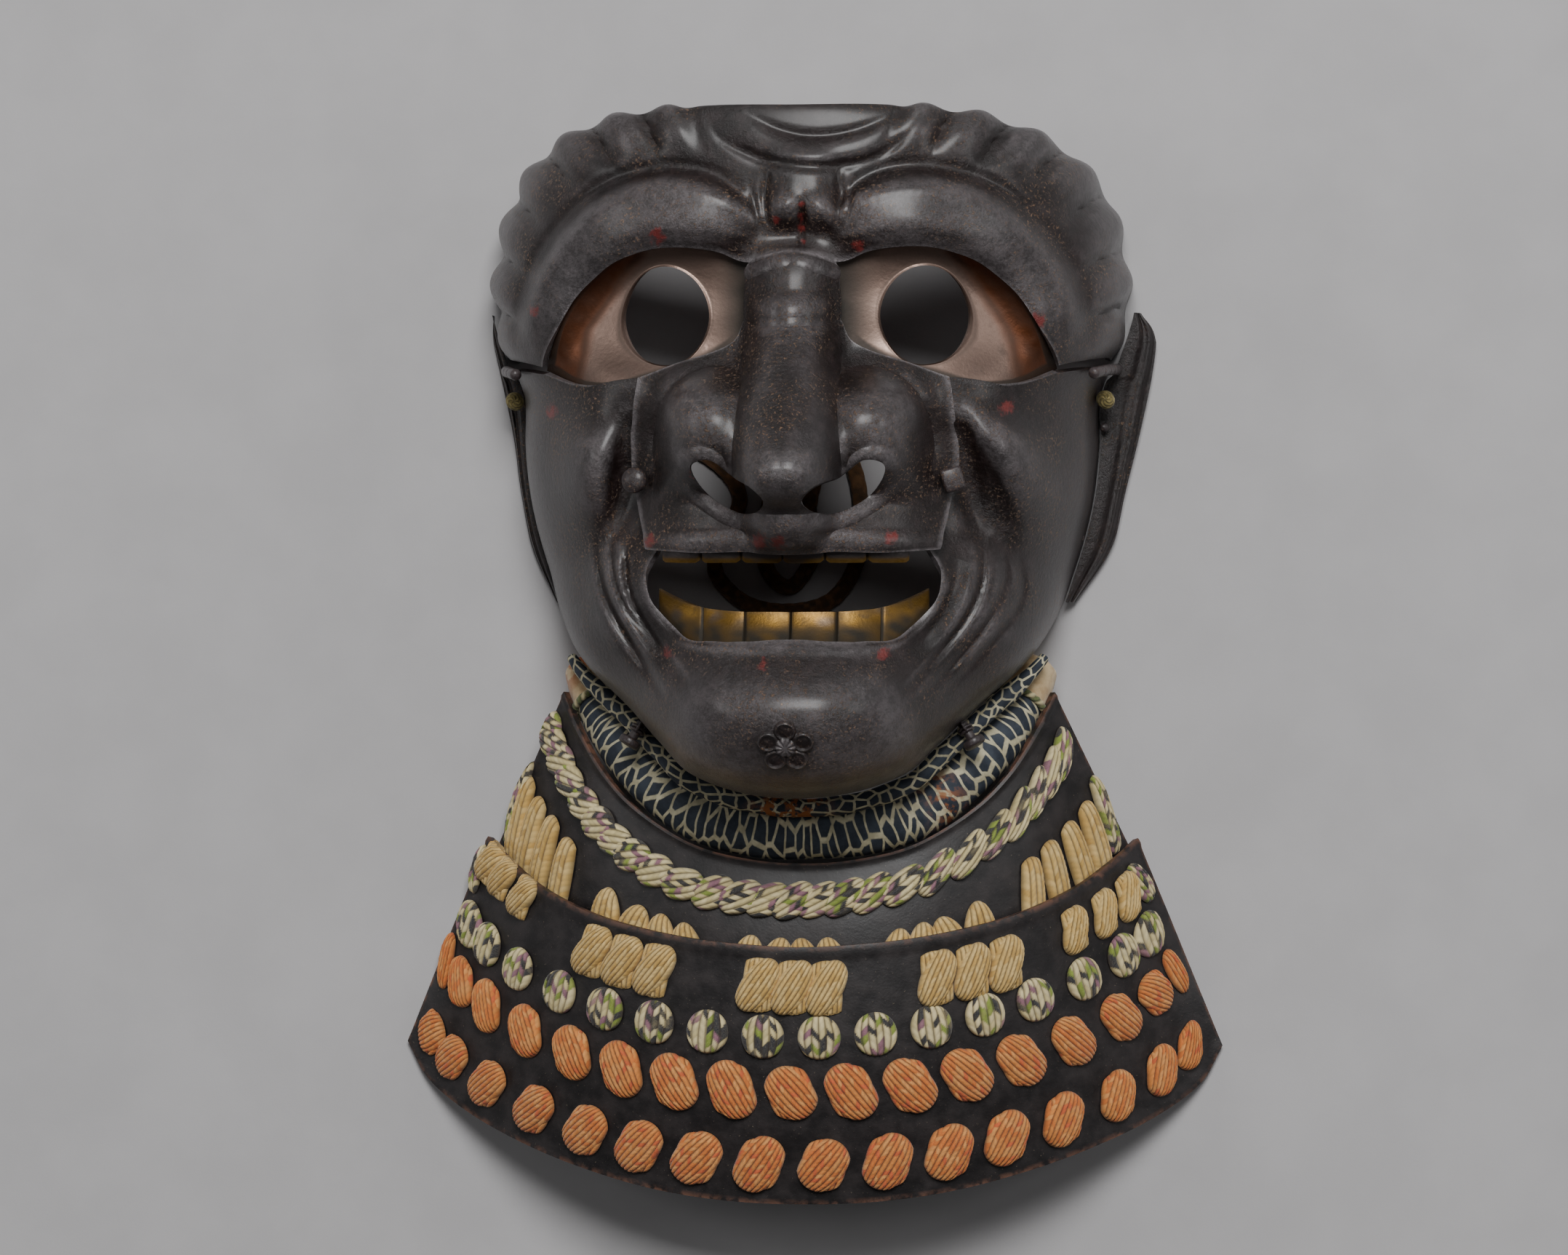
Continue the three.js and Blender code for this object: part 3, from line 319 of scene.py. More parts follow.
def stroke_height(x: Array, y: Array, power: float, line: Sequence) -> Array:
    """Height of one ridge or groove at a place."""
    rows = spline(np.array(line, dtype=float), np.linspace(0, 1, (len(line) - 1) * 4 + 1))
    reach = 3.2 * rows[:, 2].max()
    near = ((x > rows[:, 0].min() - reach) & (x < rows[:, 0].max() + reach)
            & (y > rows[:, 1].min() - reach) & (y < rows[:, 1].max() + reach))
    px, py = x[near], y[near]
    closest = np.full_like(px, np.inf)
    height = np.zeros_like(px)
    for (x0, y0, w0, h0), (x1, y1, w1, h1) in zip(rows, rows[1:]):
        dx, dy = x1 - x0, y1 - y0
        t = np.clip(((px - x0) * dx + (py - y0) * dy) / (dx * dx + dy * dy), 0, 1)
        d = np.hypot(px - x0 - dx * t, py - y0 - dy * t)
        closer = d < closest
        value = (h0 + (h1 - h0) * t) * np.exp(-(d / (w0 + (w1 - w0) * t)) ** power)
        height = np.where(closer, value, height)
        closest = np.where(closer, d, closest)
    out = np.zeros_like(x)
    out[near] = height
    return out


def relief(x: Array, y: Array, fine: bool = True) -> Array:
    """Height that the features add to the crown of the face."""
    layers = [(np.abs(x), MOUNDS, STROKES + (FINE_STROKES if fine else ()))]
    if fine:
        layers.append((x, ONE_SIDE_MOUNDS, ONE_SIDE_STROKES))
    h = np.zeros_like(x)
    for across, mounds, strokes in layers:
        for mx, my, height, rx, ry, n in mounds:
            h += height * np.exp(-np.abs((across - mx) / rx) ** n - np.abs((y - my) / ry) ** n)
        for power, line in strokes:
            h += stroke_height(across, y, power, line)
    return h


def face_point(angle: Array, share: Array, fine: bool = True) -> Array:
    """Point of the face in a direction, a share of the way to the rim."""
    reach, rim, square = rim_at(angle)
    turn = np.clip(share, 0, 1) * math.pi / 2
    r = reach * np.sin(turn) ** (2 / square)
    fall = np.maximum(np.cos(turn), 0) ** (2 / square)
    x, y = r * np.cos(angle), FACE_CENTRE_Y + r * np.sin(angle)
    return np.stack([x, y, rim + (FACE_CREST + relief(x, y, fine) - rim) * fall], axis=-1)


def face_normal(angle: Array, share: Array, fine: bool = True) -> Array:
    """Outward normal of the face."""
    s = np.clip(share, 0.02, 0.985)
    du = face_point(angle + STEP, s, fine) - face_point(angle - STEP, s, fine)
    dv = face_point(angle, s + STEP, fine) - face_point(angle, s - STEP, fine)
    steep = unit(np.cross(dv, du))
    near = share < 0.45
    if not near.any():
        return steep
    # near the nose tip the directions crowd together, so the slope is read in x and y
    x, y, _ = np.moveaxis(face_point(angle[near], share[near], fine), -1, 0)
    step = 0.25

    def height(dx: float, dy: float) -> Array:
        return face_point(*polar(x + dx, y + dy), fine)[..., 2]

    slope_x = (height(step, 0) - height(-step, 0)) / (2 * step)
    slope_y = (height(0, step) - height(0, -step)) / (2 * step)
    flat = unit(np.stack([-slope_x, -slope_y, np.ones_like(slope_x)], axis=-1))
    blend = smooth(share[near], 0.3, 0.45)[..., None]
    steep[near] = unit(flat * (1 - blend) + steep[near] * blend)
    return steep


def polar(x: Array, y: Array) -> tuple[Array, Array]:
    """Direction and share of a place seen from the front."""
    dx, dy = np.asarray(x, dtype=float), np.asarray(y, dtype=float) - FACE_CENTRE_Y
    angle = np.arctan2(dy, dx)
    reach, _, square = rim_at(angle)
    rho = np.clip(np.hypot(dx, dy) / reach, 0, 1)
    return angle, np.arcsin(rho ** (square / 2)) / (math.pi / 2)


def skin(angle: Array, share: Array, lift: Array | float,
         flute: float = 0.0, fine: bool = True) -> Array:
    """Face surface moved along its normal, with the flutes of the brow rim."""
    n = face_normal(angle, share, fine)
    flat = (share > 0.97)[..., None] * np.array([0.0, 0.0, 1.0])
    n = unit(n * (1 - flat))
    off_middle = smooth(np.abs(angle / DEG - 90), 14, 19)
    crest = 2 * np.abs(np.cos(FLUTES / 2 * angle)) ** 0.8 - 1
    wave = flute * np.cos(FLUTES * angle) * smooth(share, 0.8, 0.97) * off_middle
    inward = smooth(share, 0.6, 0.76) * (1 - smooth(share, 0.86, 0.99))
    wave = wave + 1.5 * flute * crest * inward * off_middle
    return face_point(angle, share, fine) + n * (lift + wave)[..., None]


# meshes
def placed(points: Array) -> Array:
    """Millimetres of the tables as metres in the frame."""
    return (points + np.array([0.0, SHIFT_Y, 0.0])) * MM


def select_only(*objects: bpy.types.Object) -> None:
    """Selects these objects alone and makes the first one active."""
    bpy.ops.object.select_all(action="DESELECT")
    for obj in objects:
        obj.select_set(True)
    if objects:
        bpy.context.view_layer.objects.active = objects[0]


def stand_in(obj: bpy.types.Object, slot: str, *nodes: str) -> None:
    """Hides the CAD nodes whose place a piece takes."""
    if nodes:
        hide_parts(*nodes)


def grid_faces(nu: int, nv: int, ring: bool, offset: int = 0, flip: bool = False) -> Array:
    """Quads of a grid of nu by nv cells whose points run row by row."""
    cols = nu if ring else nu + 1
    i, j = np.meshgrid(np.arange(nu), np.arange(nv), indexing="ij")
    a = (i % cols) * (nv + 1) + j
    b = ((i + 1) % cols) * (nv + 1) + j
    quads = np.stack([a, b, b + 1, a + 1], axis=-1).reshape(-1, 4) + offset
    return quads[:, ::-1] if flip else quads


def tube_faces(rows: int, around: int, closed: bool = False) -> list:
    """Quads of a tube of rows rings of points, and its two ends unless it is closed."""
    i, j = np.meshgrid(np.arange(rows if closed else rows - 1), np.arange(around), indexing="ij")
    here, there, on = i * around, (i + 1) % rows * around, (j + 1) % around
    quads = np.stack([here + j, here + on, there + on, there + j], axis=-1).reshape(-1, 4)
    ends = [] if closed else [list(range(around))[::-1],
                              [(rows - 1) * around + k for k in range(around)]]
    return quads.tolist() + ends


def shell_faces(nu: int, nv: int, ring: bool = False) -> tuple[Array, int]:
    """Quads of a closed sheet: its front, its back and the walls round it.

    Args:
        nu: cells along.
        nv: cells across.
        ring: whether the sheet closes on itself along u.

    Returns:
        The quads, and how many of them are front ones (they come first).
    """
    cols = nu if ring else nu + 1
    half = cols * (nv + 1)
    front = grid_faces(nu, nv, ring)
    back = grid_faces(nu, nv, ring, half, flip=True)
    i = np.arange(nu)
    a, b = (i % cols) * (nv + 1), ((i + 1) % cols) * (nv + 1)
    walls = [np.stack([b, a, a + half, b + half], axis=-1),
             np.stack([a + nv, b + nv, b + nv + half, a + nv + half], axis=-1)]
    if not ring:
        j = np.arange(nv)
        e = nu * (nv + 1)
        walls.append(np.stack([j, j + 1, j + 1 + half, j + half], axis=-1))
        walls.append(np.stack([e + j + 1, e + j, e + j + half, e + j + 1 + half], axis=-1))
    return np.vstack([front, back] + walls), len(front)


def build_object(name: str, points: Array, faces: Array | list, materials: Sequence,
                 uv: Array | None = None, extra: Marks | None = None,
                 slots: Array | None = None, smooth_angle: float = 40.0) -> bpy.types.Object:
    """Writes points and faces into a new object, closed and facing out.

    Args:
        name: the piece's name.
        points: (n, 3) places in millimetres.
        faces: quads as an array, or a list of tuples.
        materials: materials by slot.
        uv: (n, 2) pattern coordinates of the points.
        extra: float or colour attributes of the points.
        slots: material slot of each face.
        smooth_angle: edges sharper than this stay sharp, in degrees.

    Returns:
        The new object, riding on the root body.
    """
    mesh = bpy.data.meshes.new(name)
    faces = faces.tolist() if isinstance(faces, Array) else faces
    mesh.from_pydata(placed(points).tolist(), [], faces)
    mesh.update()
    face_out(mesh)
    if uv is not None:
        layer = mesh.uv_layers.new(name="UVMap")
        index = np.empty(len(mesh.loops), dtype=int)
        mesh.loops.foreach_get("vertex_index", index)
        layer.data.foreach_set("uv", uv[index].astype(np.float32).ravel())
    for key, values in (extra or {}).items():
        if values.ndim == 2:
            attribute = mesh.attributes.new(key, "FLOAT_COLOR", "POINT")
            rgba = np.ones((len(values), 4), dtype=np.float32)
            rgba[:, :3] = values
            attribute.data.foreach_set("color", rgba.ravel())
        else:
            attribute = mesh.attributes.new(key, "FLOAT", "POINT")
            attribute.data.foreach_set("value", values.astype(np.float32))
    for material in materials:
        mesh.materials.append(material)
    if slots is not None:
        mesh.polygons.foreach_set("material_index", slots.astype(np.int32))
    obj = bpy.data.objects.new(name, mesh)
    bpy.context.scene.collection.objects.link(obj)
    select_only(obj)
    bpy.ops.object.shade_smooth_by_angle(angle=smooth_angle * DEG)
    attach(obj, "root")
    return obj


def face_out(mesh: bpy.types.Mesh) -> None:
    """Turns the faces of a closed mesh outwards, by the sign of its volume."""
    mesh.calc_loop_triangles()
    count = len(mesh.loop_triangles)
    tri = np.empty(count * 3, dtype=int)
    mesh.loop_triangles.foreach_get("vertices", tri)
    co = np.empty(len(mesh.vertices) * 3)
    mesh.vertices.foreach_get("co", co)
    p = co.reshape(-1, 3)[tri.reshape(-1, 3)]
    if np.einsum("ij,ij->i", p[:, 0], np.cross(p[:, 1], p[:, 2])).sum() < 0:
        mesh.flip_normals()


def convexity(points: Array, normals: Array, reach: int) -> Array:
    """How far each point of a (nu, nv, 3) patch stands proud of those round it."""
    padded = np.pad(points, ((reach, reach), (reach, reach), (0, 0)), mode="reflect",
                    reflect_type="odd")
    nu, nv = points.shape[:2]
    mean = np.zeros_like(points)
    for di, dj in ((0, 1), (0, -1), (1, 0), (-1, 0)):
        i, j = reach + di * reach, reach + dj * reach
        mean += padded[i:i + nu, j:j + nv] / 4
    return np.einsum("ijk,ijk->ij", points - mean, normals)


def sheet_object(name: str, front: Callable, back: Callable, nu: int, nv: int,
                 materials: Sequence, ring: bool = False,
                 extra: Callable | None = None) -> bpy.types.Object:
    """A closed sheet from a front and a back, both functions of (u, v).

    Args:
        name: the piece's name.
        front: points of the front for arrays u and v.
        back: points of the back.
        nu: cells along.
        nv: cells across.
        materials: front material, then back material.
        ring: whether it closes on itself along u.
        extra: attributes from (points, u, v) of the front.

    Returns:
        The new object.
    """
    cols = nu if ring else nu + 1
    u, v = np.meshgrid(np.arange(cols) / nu, np.arange(nv + 1) / nv, indexing="ij")
    f, b = front(u, v), back(u, v)
    faces, count = shell_faces(nu, nv, ring)
    slots = np.zeros(len(faces), dtype=int)
    slots[count:count + nu * nv] = len(materials) - 1
    attributes = {}
    if extra:
        for key, values in extra(f, u, v).items():
            flat = values.reshape(-1, 3) if values.ndim == 3 else values.reshape(-1)
            attributes[key] = np.concatenate([flat, flat])
    uv = np.stack([u, v], axis=-1).reshape(-1, 2)
    return build_object(name, np.vstack([f.reshape(-1, 3), b.reshape(-1, 3)]), faces, materials,
                        uv=np.vstack([uv, uv]), extra=attributes, slots=slots)


# finishes
def linear(hex_colour: str) -> tuple[float, float, float, float]:
    """Linear RGBA of an sRGB colour written as RRGGBB."""
    channels = [int(hex_colour[i:i + 2], 16) / 255 for i in (0, 2, 4)]
    return tuple(c / 12.92 if c <= 0.04045 else ((c + 0.055) / 1.055) ** 2.4
                 for c in channels) + (1.0,)


def rgb(hex_colour: str) -> Array:
    """Linear RGB of an sRGB colour as an array."""
    return np.array(linear(hex_colour)[:3])


# what an input of a node takes: a socket, a number or a colour written as RRGGBB
Value = bpy.types.NodeSocket | float | str


class Shader:
    """A node material being put together."""

    def __init__(self, name: str) -> None:
        self.material = bpy.data.materials.new(name)
        self.material.use_nodes = True
        self.tree = self.material.node_tree
        self.tree.nodes.clear()
        self.out = self.tree.nodes.new("ShaderNodeOutputMaterial")
        self.coords = self.tree.nodes.new("ShaderNodeTexCoord")
        self.object = self.coords.outputs["Object"]
        self.uv = self.coords.outputs["UV"]

    def add(self, kind: str, props: dict | None = None, **inputs) -> bpy.types.Node:
        """Adds one node.

        Args:
            kind: node class without its ShaderNode prefix.
            props: settings of the node itself.
            **inputs: values or sockets by input name, or by number as i0, i1.

        Returns:
            The node.
        """
        made = self.tree.nodes.new("ShaderNode" + kind)
        for key, value in (props or {}).items():
            setattr(made, key, value)
        for key, value in inputs.items():
            numbered = key[0] == "i" and key[1:].isdigit()
            socket = made.inputs[int(key[1:])] if numbered else made.inputs[key.replace("_", " ")]
            if isinstance(value, bpy.types.NodeSocket):
                self.tree.links.new(value, socket)
            else:
                socket.default_value = value
        return made

    def noise(self, scale: float, detail: float = 4.0, rough: float = 0.6
              ) -> bpy.types.NodeSocket:
        """Noise whose patches are about 1 / scale metres."""
        return self.add("TexNoise", Vector=self.object, Scale=scale, Detail=detail,
                        Roughness=rough).outputs["Fac"]

    def patches(self, scale: float, detail: float, low: float, high: float,
                rough: float = 0.6) -> bpy.types.NodeSocket:
        """Noise with soft edges: 0 where it is under low, 1 where it is over high."""
        return self.ramp(self.noise(scale, detail, rough), low, high)

    def attribute(self, name: str, colour: bool = False) -> bpy.types.NodeSocket:
        """A point attribute of the piece's own mesh."""
        made = self.add("Attribute", {"attribute_name": name})
        return made.outputs["Color" if colour else "Fac"]

    def ramp(self, value: Value, low: float, high: float) -> bpy.types.NodeSocket:
        """0 at low, 1 at high."""
        return self.add("MapRange", {"interpolation_type": "SMOOTHSTEP"}, Value=value,
                        From_Min=low, From_Max=high).outputs["Result"]

    def math(self, operation: str, a: Value, b: Value) -> bpy.types.NodeSocket:
        """One arithmetic step."""
        return self.add("Math", {"operation": operation}, i0=a, i1=b).outputs[0]

    def plus(self, a: Value, b: Value) -> bpy.types.NodeSocket:
        """Sum of two numbers."""
        return self.math("ADD", a, b)

    def times(self, a: Value, b: Value) -> bpy.types.NodeSocket:
        """Product of two numbers."""
        return self.math("MULTIPLY", a, b)

    def mix(self, factor: Value, a: Value, b: Value) -> bpy.types.NodeSocket:
        """Colour between a and b, each a socket or RRGGBB."""
        a, b = (linear(c) if isinstance(c, str) else c for c in (a, b))
        return self.add("Mix", {"data_type": "RGBA"}, i0=factor, i6=a, i7=b).outputs[2]

    def level(self, factor: Value, a: float, b: float) -> bpy.types.NodeSocket:
        """Number between a and b."""
        return self.add("MapRange", Value=factor, To_Min=a, To_Max=b).outputs["Result"]

    def bump(self, height: Value, distance: float, strength: float = 1.0,
             **under: bpy.types.NodeSocket) -> bpy.types.NodeSocket:
        """Surface detail as high as distance, in metres, over a Normal if one is given."""
        return self.add("Bump", Height=height, Distance=distance, Strength=strength,
                        **under).outputs["Normal"]

    def finish(self, **inputs: Value) -> bpy.types.Material:
        """Closes the material with a Principled surface."""
        surface = self.add("BsdfPrincipled", **inputs)
        self.tree.links.new(surface.outputs["BSDF"], self.out.inputs["Surface"])
        return self.material


@dataclass(frozen=True)
class IronFinish:
    """Russet-lacquered iron: rubbed bare on its high places, lightened with a painted sheen on the
    brow band, flecked with rust.
    """

    dark: str = "120a09"
    body: str = "201514"
    haze: str = "3a2e2e"
    bare: str = "8a8486"
    rust: str = "9a7a60"
    red: str = "7c2b27"

    def make(self) -> bpy.types.Material:
        """The lacquer over hammered iron, its wear (with the brow band's painted sheen) and its
        rust flecks.
        """
        s = Shader("russet_lacquer_on_hammered_iron_rubbed")
        mid, grain = s.noise(260, 5, 0.65), s.noise(1100, 3, 0.7)
        colour = s.mix(s.patches(45, 5, 0.35, 0.68), self.dark, self.body)
        cloudy = s.ramp(s.plus(mid, s.times(grain, 0.35)), 0.62, 0.85)
        colour = s.mix(s.times(cloudy, 0.4), colour, self.haze)
        wear = s.times(s.attribute("wear"),
                       s.level(s.ramp(s.plus(mid, grain), 0.75, 1.2), 0.35, 1.0))
        colour = s.mix(wear, colour, self.bare)
        flecks = s.times(s.patches(55, 4, 0.42, 0.64), s.patches(1300, 4, 0.54, 0.66, 0.7))
        colour = s.mix(s.times(flecks, 0.7), colour, self.rust)
        rub = s.ramp(s.plus(s.attribute("rub"), s.times(s.noise(520, 5), 1.5)), 1.28, 1.75)
        colour = s.mix(s.times(rub, 0.85), colour, self.red)
        rough = s.plus(s.level(s.plus(grain, mid), 0.16, 0.38), s.times(flecks, 0.3))
        hammered = s.bump(s.noise(110, 3), 0.0007, 0.5)
        pitted = s.bump(s.plus(s.noise(800, 5, 0.75), s.times(flecks, 0.4)), 0.0005, 0.8,
                        Normal=hammered)
        return s.finish(Base_Color=colour, Roughness=rough, Normal=pitted, Coat_Weight=0.35,
                        Coat_Roughness=0.26, Metallic=s.times(wear, 0.7))


@dataclass(frozen=True)
class LacquerFinish:
    """Urushi lacquer with a worn rim and dust."""

    name: str
    body: str
    rim: str
    gloss: float = 0.28

    def make(self) -> bpy.types.Material:
        """The lacquer film, worn through to its red ground at the edges."""
        s = Shader(self.name)
        film, dust = s.noise(160, 3), s.noise(1600, 2)
        edge = s.times(s.attribute("wear"), s.patches(330, 4, 0.38, 0.6))
        colour = s.mix(s.ramp(film, 0.3, 0.75), self.body, "2f2a2a")
        colour = s.mix(edge, colour, self.rim)
        colour = s.mix(s.times(s.ramp(dust, 0.68, 0.76), 0.4), colour, "8c7f6c")
        rough = s.plus(s.level(film, self.gloss, self.gloss + 0.18), s.times(edge, 0.25))
        normal = s.bump(dust, 0.00008, 0.5, Normal=s.bump(film, 0.0004, 0.35))
        return s.finish(Base_Color=colour, Roughness=rough, Normal=normal, Coat_Weight=0.1,
                        Coat_Roughness=0.3)


@dataclass(frozen=True)
class MetalFinish:
    """A bare or gilt metal sheet with grime and painted shade."""

    name: str
    body: str
    grime: str
    second: str
    rough: float = 0.34
    scale: float = 300.0

    def make(self) -> bpy.types.Material:
        """The metal, tinted by its tone attribute and dulled by grime and painted shade."""
        s = Shader(self.name)
        cloud, fine = s.noise(self.scale, 4), s.noise(self.scale * 5, 3, 0.7)
        colour = s.mix(s.attribute("tone"), self.body, self.second)
        # the attribute darkens the metal: painted shade along the eye plates' edges and other dark
        # marks; the noise adds patchy dirt
        dirt_and_shade = s.math("MAXIMUM", s.attribute("grime"), s.times(s.ramp(cloud, 0.52, 0.74), 0.45))
        colour = s.mix(dirt_and_shade, colour, self.grime)
        rough = s.plus(s.level(fine, self.rough - 0.06, self.rough + 0.1), s.times(dirt_and_shade, 0.25))
        return s.finish(Base_Color=colour, Roughness=rough, Metallic=s.level(dirt_and_shade, 0.92, 0.35),
                        Normal=s.bump(s.plus(cloud, fine), 0.00015, 0.4))


@dataclass(frozen=True)
class FibreFinish:
    """Braided or twisted thread, coloured strand by strand on the mesh."""

    name: str
    second: str
    fleck: str
    rough: float = 0.85

    def make(self) -> bpy.types.Material:
        """Strand colours, painted shade between the strands, the hairline twist of each strand and
        a soft sheen.
        """
        s = Shader(self.name)
        fibres = s.noise(5200, 2)
        colour = s.mix(s.times(s.patches(140, 3, 0.54, 0.7), 0.25),
                       s.attribute("tint", colour=True), self.second)
        colour = s.mix(s.times(s.ramp(fibres, 0.35, 0.7), 0.14), colour, self.fleck)
        # painted shade in the crevices between strands and along the edges of a braid
        colour = s.mix(s.times(s.attribute("crevice_shade"), 0.75), colour, "3a2e22")
        return s.finish(Base_Color=colour, Roughness=self.rough, Sheen_Weight=0.25,
                        Sheen_Roughness=0.5, Normal=s.bump(fibres, 0.00012, 0.7))


@dataclass(frozen=True)
class LeatherFinish:
    """Smoke-dyed leather stencilled with cream branching leaves."""

    ground: tuple[str, str] = ("232a35", "39414c")
    paint: tuple[str, str] = ("b9b08f", "ddd5b4")
    stain: str = "9a5a2a"
    # leaves along the roll and round it
    leaves: tuple[float, float] = (58.0, 5.4)

    def make(self) -> bpy.types.Material:
        """Leaf outlines between bent cells of the roll's own pattern coordinates."""
        s = Shader("indigo_deer_leather_stencilled_with_leaves")
        warp = s.add("TexNoise", Vector=s.uv, Scale=3.0, Detail=2).outputs["Color"]
        bent = s.add("Mix", {"data_type": "RGBA", "blend_type": "LINEAR_LIGHT"}, i0=0.012,
                     i6=s.uv, i7=warp).outputs[2]
        spread = s.add("Mapping", Vector=bent, Scale=(*self.leaves, 1.0)).outputs[0]
        cells = s.add("TexVoronoi", {"feature": "DISTANCE_TO_EDGE", "voronoi_dimensions": "2D"},
                      Vector=spread, Scale=1.0, Randomness=1.0).outputs["Distance"]
        line = s.ramp(s.plus(cells, s.times(s.noise(900, 2), 0.05)), 0.16, 0.1)
        rubbed = s.level(s.patches(300, 4, 0.3, 0.7), 0.75, 1.0)
        ground = s.mix(s.patches(200, 4, 0.35, 0.7), *self.ground)
        paint = s.mix(s.patches(350, 3, 0.3, 0.7), *self.paint)
        colour = s.mix(s.times(line, rubbed), ground, paint)
        stain = s.times(s.attribute("rub"), s.patches(400, 3, 0.45, 0.6))
        grain = s.add("TexVoronoi", {"feature": "F1"}, Vector=s.object,
                      Scale=1500.0).outputs["Distance"]
        return s.finish(Base_Color=s.mix(stain, colour, self.stain), Roughness=0.72,
                        Normal=s.bump(s.plus(grain, s.times(line, 0.5)), 0.0001, 0.5))


@dataclass(frozen=True)
class SuedeFinish:
    """Tan suede with its nap and an orange-red stain."""

    tan: tuple[str, str] = ("b3946a", "d8c198")
    stain: str = "a8541f"

    def make(self) -> bpy.types.Material:
        """Cloudy tan, stained where the rub attribute says so."""
        s = Shader("tan_suede_brushed_nap")
        colour = s.mix(s.patches(180, 4, 0.3, 0.7), *self.tan)
        stain = s.times(s.attribute("rub"), s.patches(350, 3, 0.4, 0.56))
        return s.finish(Base_Color=s.mix(stain, colour, self.stain), Roughness=0.95,
                        Sheen_Weight=0.3, Sheen_Roughness=0.5,
                        Normal=s.bump(s.noise(2600, 3, 0.7), 0.0001, 0.6))


@dataclass(frozen=True)
class PaperFinish:
    """Pale grey matt paper that the guard lies on."""

    greys: tuple[str, str] = ("b9b7b8", "bfbdbe")

    def make(self) -> bpy.types.Material:
        """Two near greys and a fine tooth."""
        s = Shader("pale_grey_matt_paper")
        return s.finish(Base_Color=s.mix(s.patches(30, 5, 0.3, 0.7), *self.greys),
                        Roughness=0.95, Normal=s.bump(s.noise(1500, 4), 0.0001, 0.3))


class Finish(Enum):
    """The materials of the guard."""

    IRON = IronFinish()
    RED = LacquerFinish("red_lacquer_inside_brushed", "4a1612", "2c201c", 0.42)
    WORN = IronFinish(dark="2a2223", body="463c3d")
    BLACK = LacquerFinish("black_lacquer_on_iron_worn_at_rims", "171415", "74503f", 0.4)
    COPPER = MetalFinish("shakudo_copper_sheet_polished", "8d776c", "2c2822", "7c4a30", 0.4, 170)
    GILT = MetalFinish("gilt_iron_teeth_worn", "75592a", "2a241a", "544f4f", 0.4, 260)
    SILK = FibreFinish("mixed_silk_braid_flat", "c4b27c", "e6dcb8")
    BEIGE = FibreFinish("beige_silk_braid_flat", "bc9a5e", "dfc48c")
    ORANGE = FibreFinish("orange_silk_braid_faded", "cf5a30", "eda460")
    BROWN = FibreFinish("brown_cotton_flat_braid", "59401f", "9c7a4c")
    FIBRE = FibreFinish("olive_hemp_cord_twisted", "5d5430", "b3a674")
    LEATHER = LeatherFinish()
    SUEDE = SuedeFinish()
    PAPER = PaperFinish()

    @property
    def material(self) -> bpy.types.Material:
        """The material itself."""
        return made_once(self)


@cache
def made_once(finish: Finish) -> bpy.types.Material:
    """Makes a material the first time that it is used."""
    return finish.value.make()


# the iron mask
RED_SPOTS = (
    # x y radius, rubbed through to red
    (-35, 108, 3.0), (-70, 90, 2.4), (17, 105.5, 2.6), (63, 87, 3.0), (2.4, 116, 1.4),
    (2.2, 113, 1.5), (2.2, 110, 1.5), (2.6, 106.5, 1.3), (-4, 112, 1.8),
    (-66, 64, 3.0), (55, 64, 3.0), (-37, 29, 2.6), (-7, 28.6, 3.2), (-2, 28.4, 3.0),
    (26, 30, 2.8), (-32, 0, 2.4), (-6, -2.6, 2.4), (24, 0, 2.6), (-24, 46, 2.0),
)


def plate_marks(points: Array, edge: Array, seed: int) -> Marks:
    """Wear, red rubs and the brow band's painted sheen of an iron plate.

    Args:
        points: (nu, nv, 3) front of the plate.
        edge: 1 on the plate's edges, 0 inside.
        seed: for the patchiness.

    Returns:
        The wear and rub attributes.
    """
    normals = unit(np.cross(np.gradient(points, axis=0), np.gradient(points, axis=1)))
    if normals[..., 2].mean() < 0:
        normals = -normals
    proud = np.maximum(smooth(convexity(points, normals, 8), 0.3, 1.8) * 0.4,
                       smooth(convexity(points, normals, 3), 0.06, 0.4) * 0.5)
    patchy = 0.75 + 0.35 * ripple(points, 22, seed)
    wear = np.clip(np.maximum(proud * patchy, edge * 0.8), 0, 1) * smooth(points[..., 2], 4, 30)
    # the brow band is lightened in the wear attribute: partly rubbed bare, partly a painted sheen
    # where the light catches its upper side
    band = smooth(stroke_height(np.abs(points[..., 0]), points[..., 1], *STROKES[1]), 2.5, 6)
    wear = np.maximum(wear, band * 0.42 * patchy)
    rub = np.zeros(points.shape[:2])
    for x, y, r in RED_SPOTS:
        rub = np.maximum(rub, np.exp(-((points[..., 0] - x) ** 2 + (points[..., 1] - y) ** 2)
                                     / (r * r)))
    return {"wear": wear, "rub": rub}


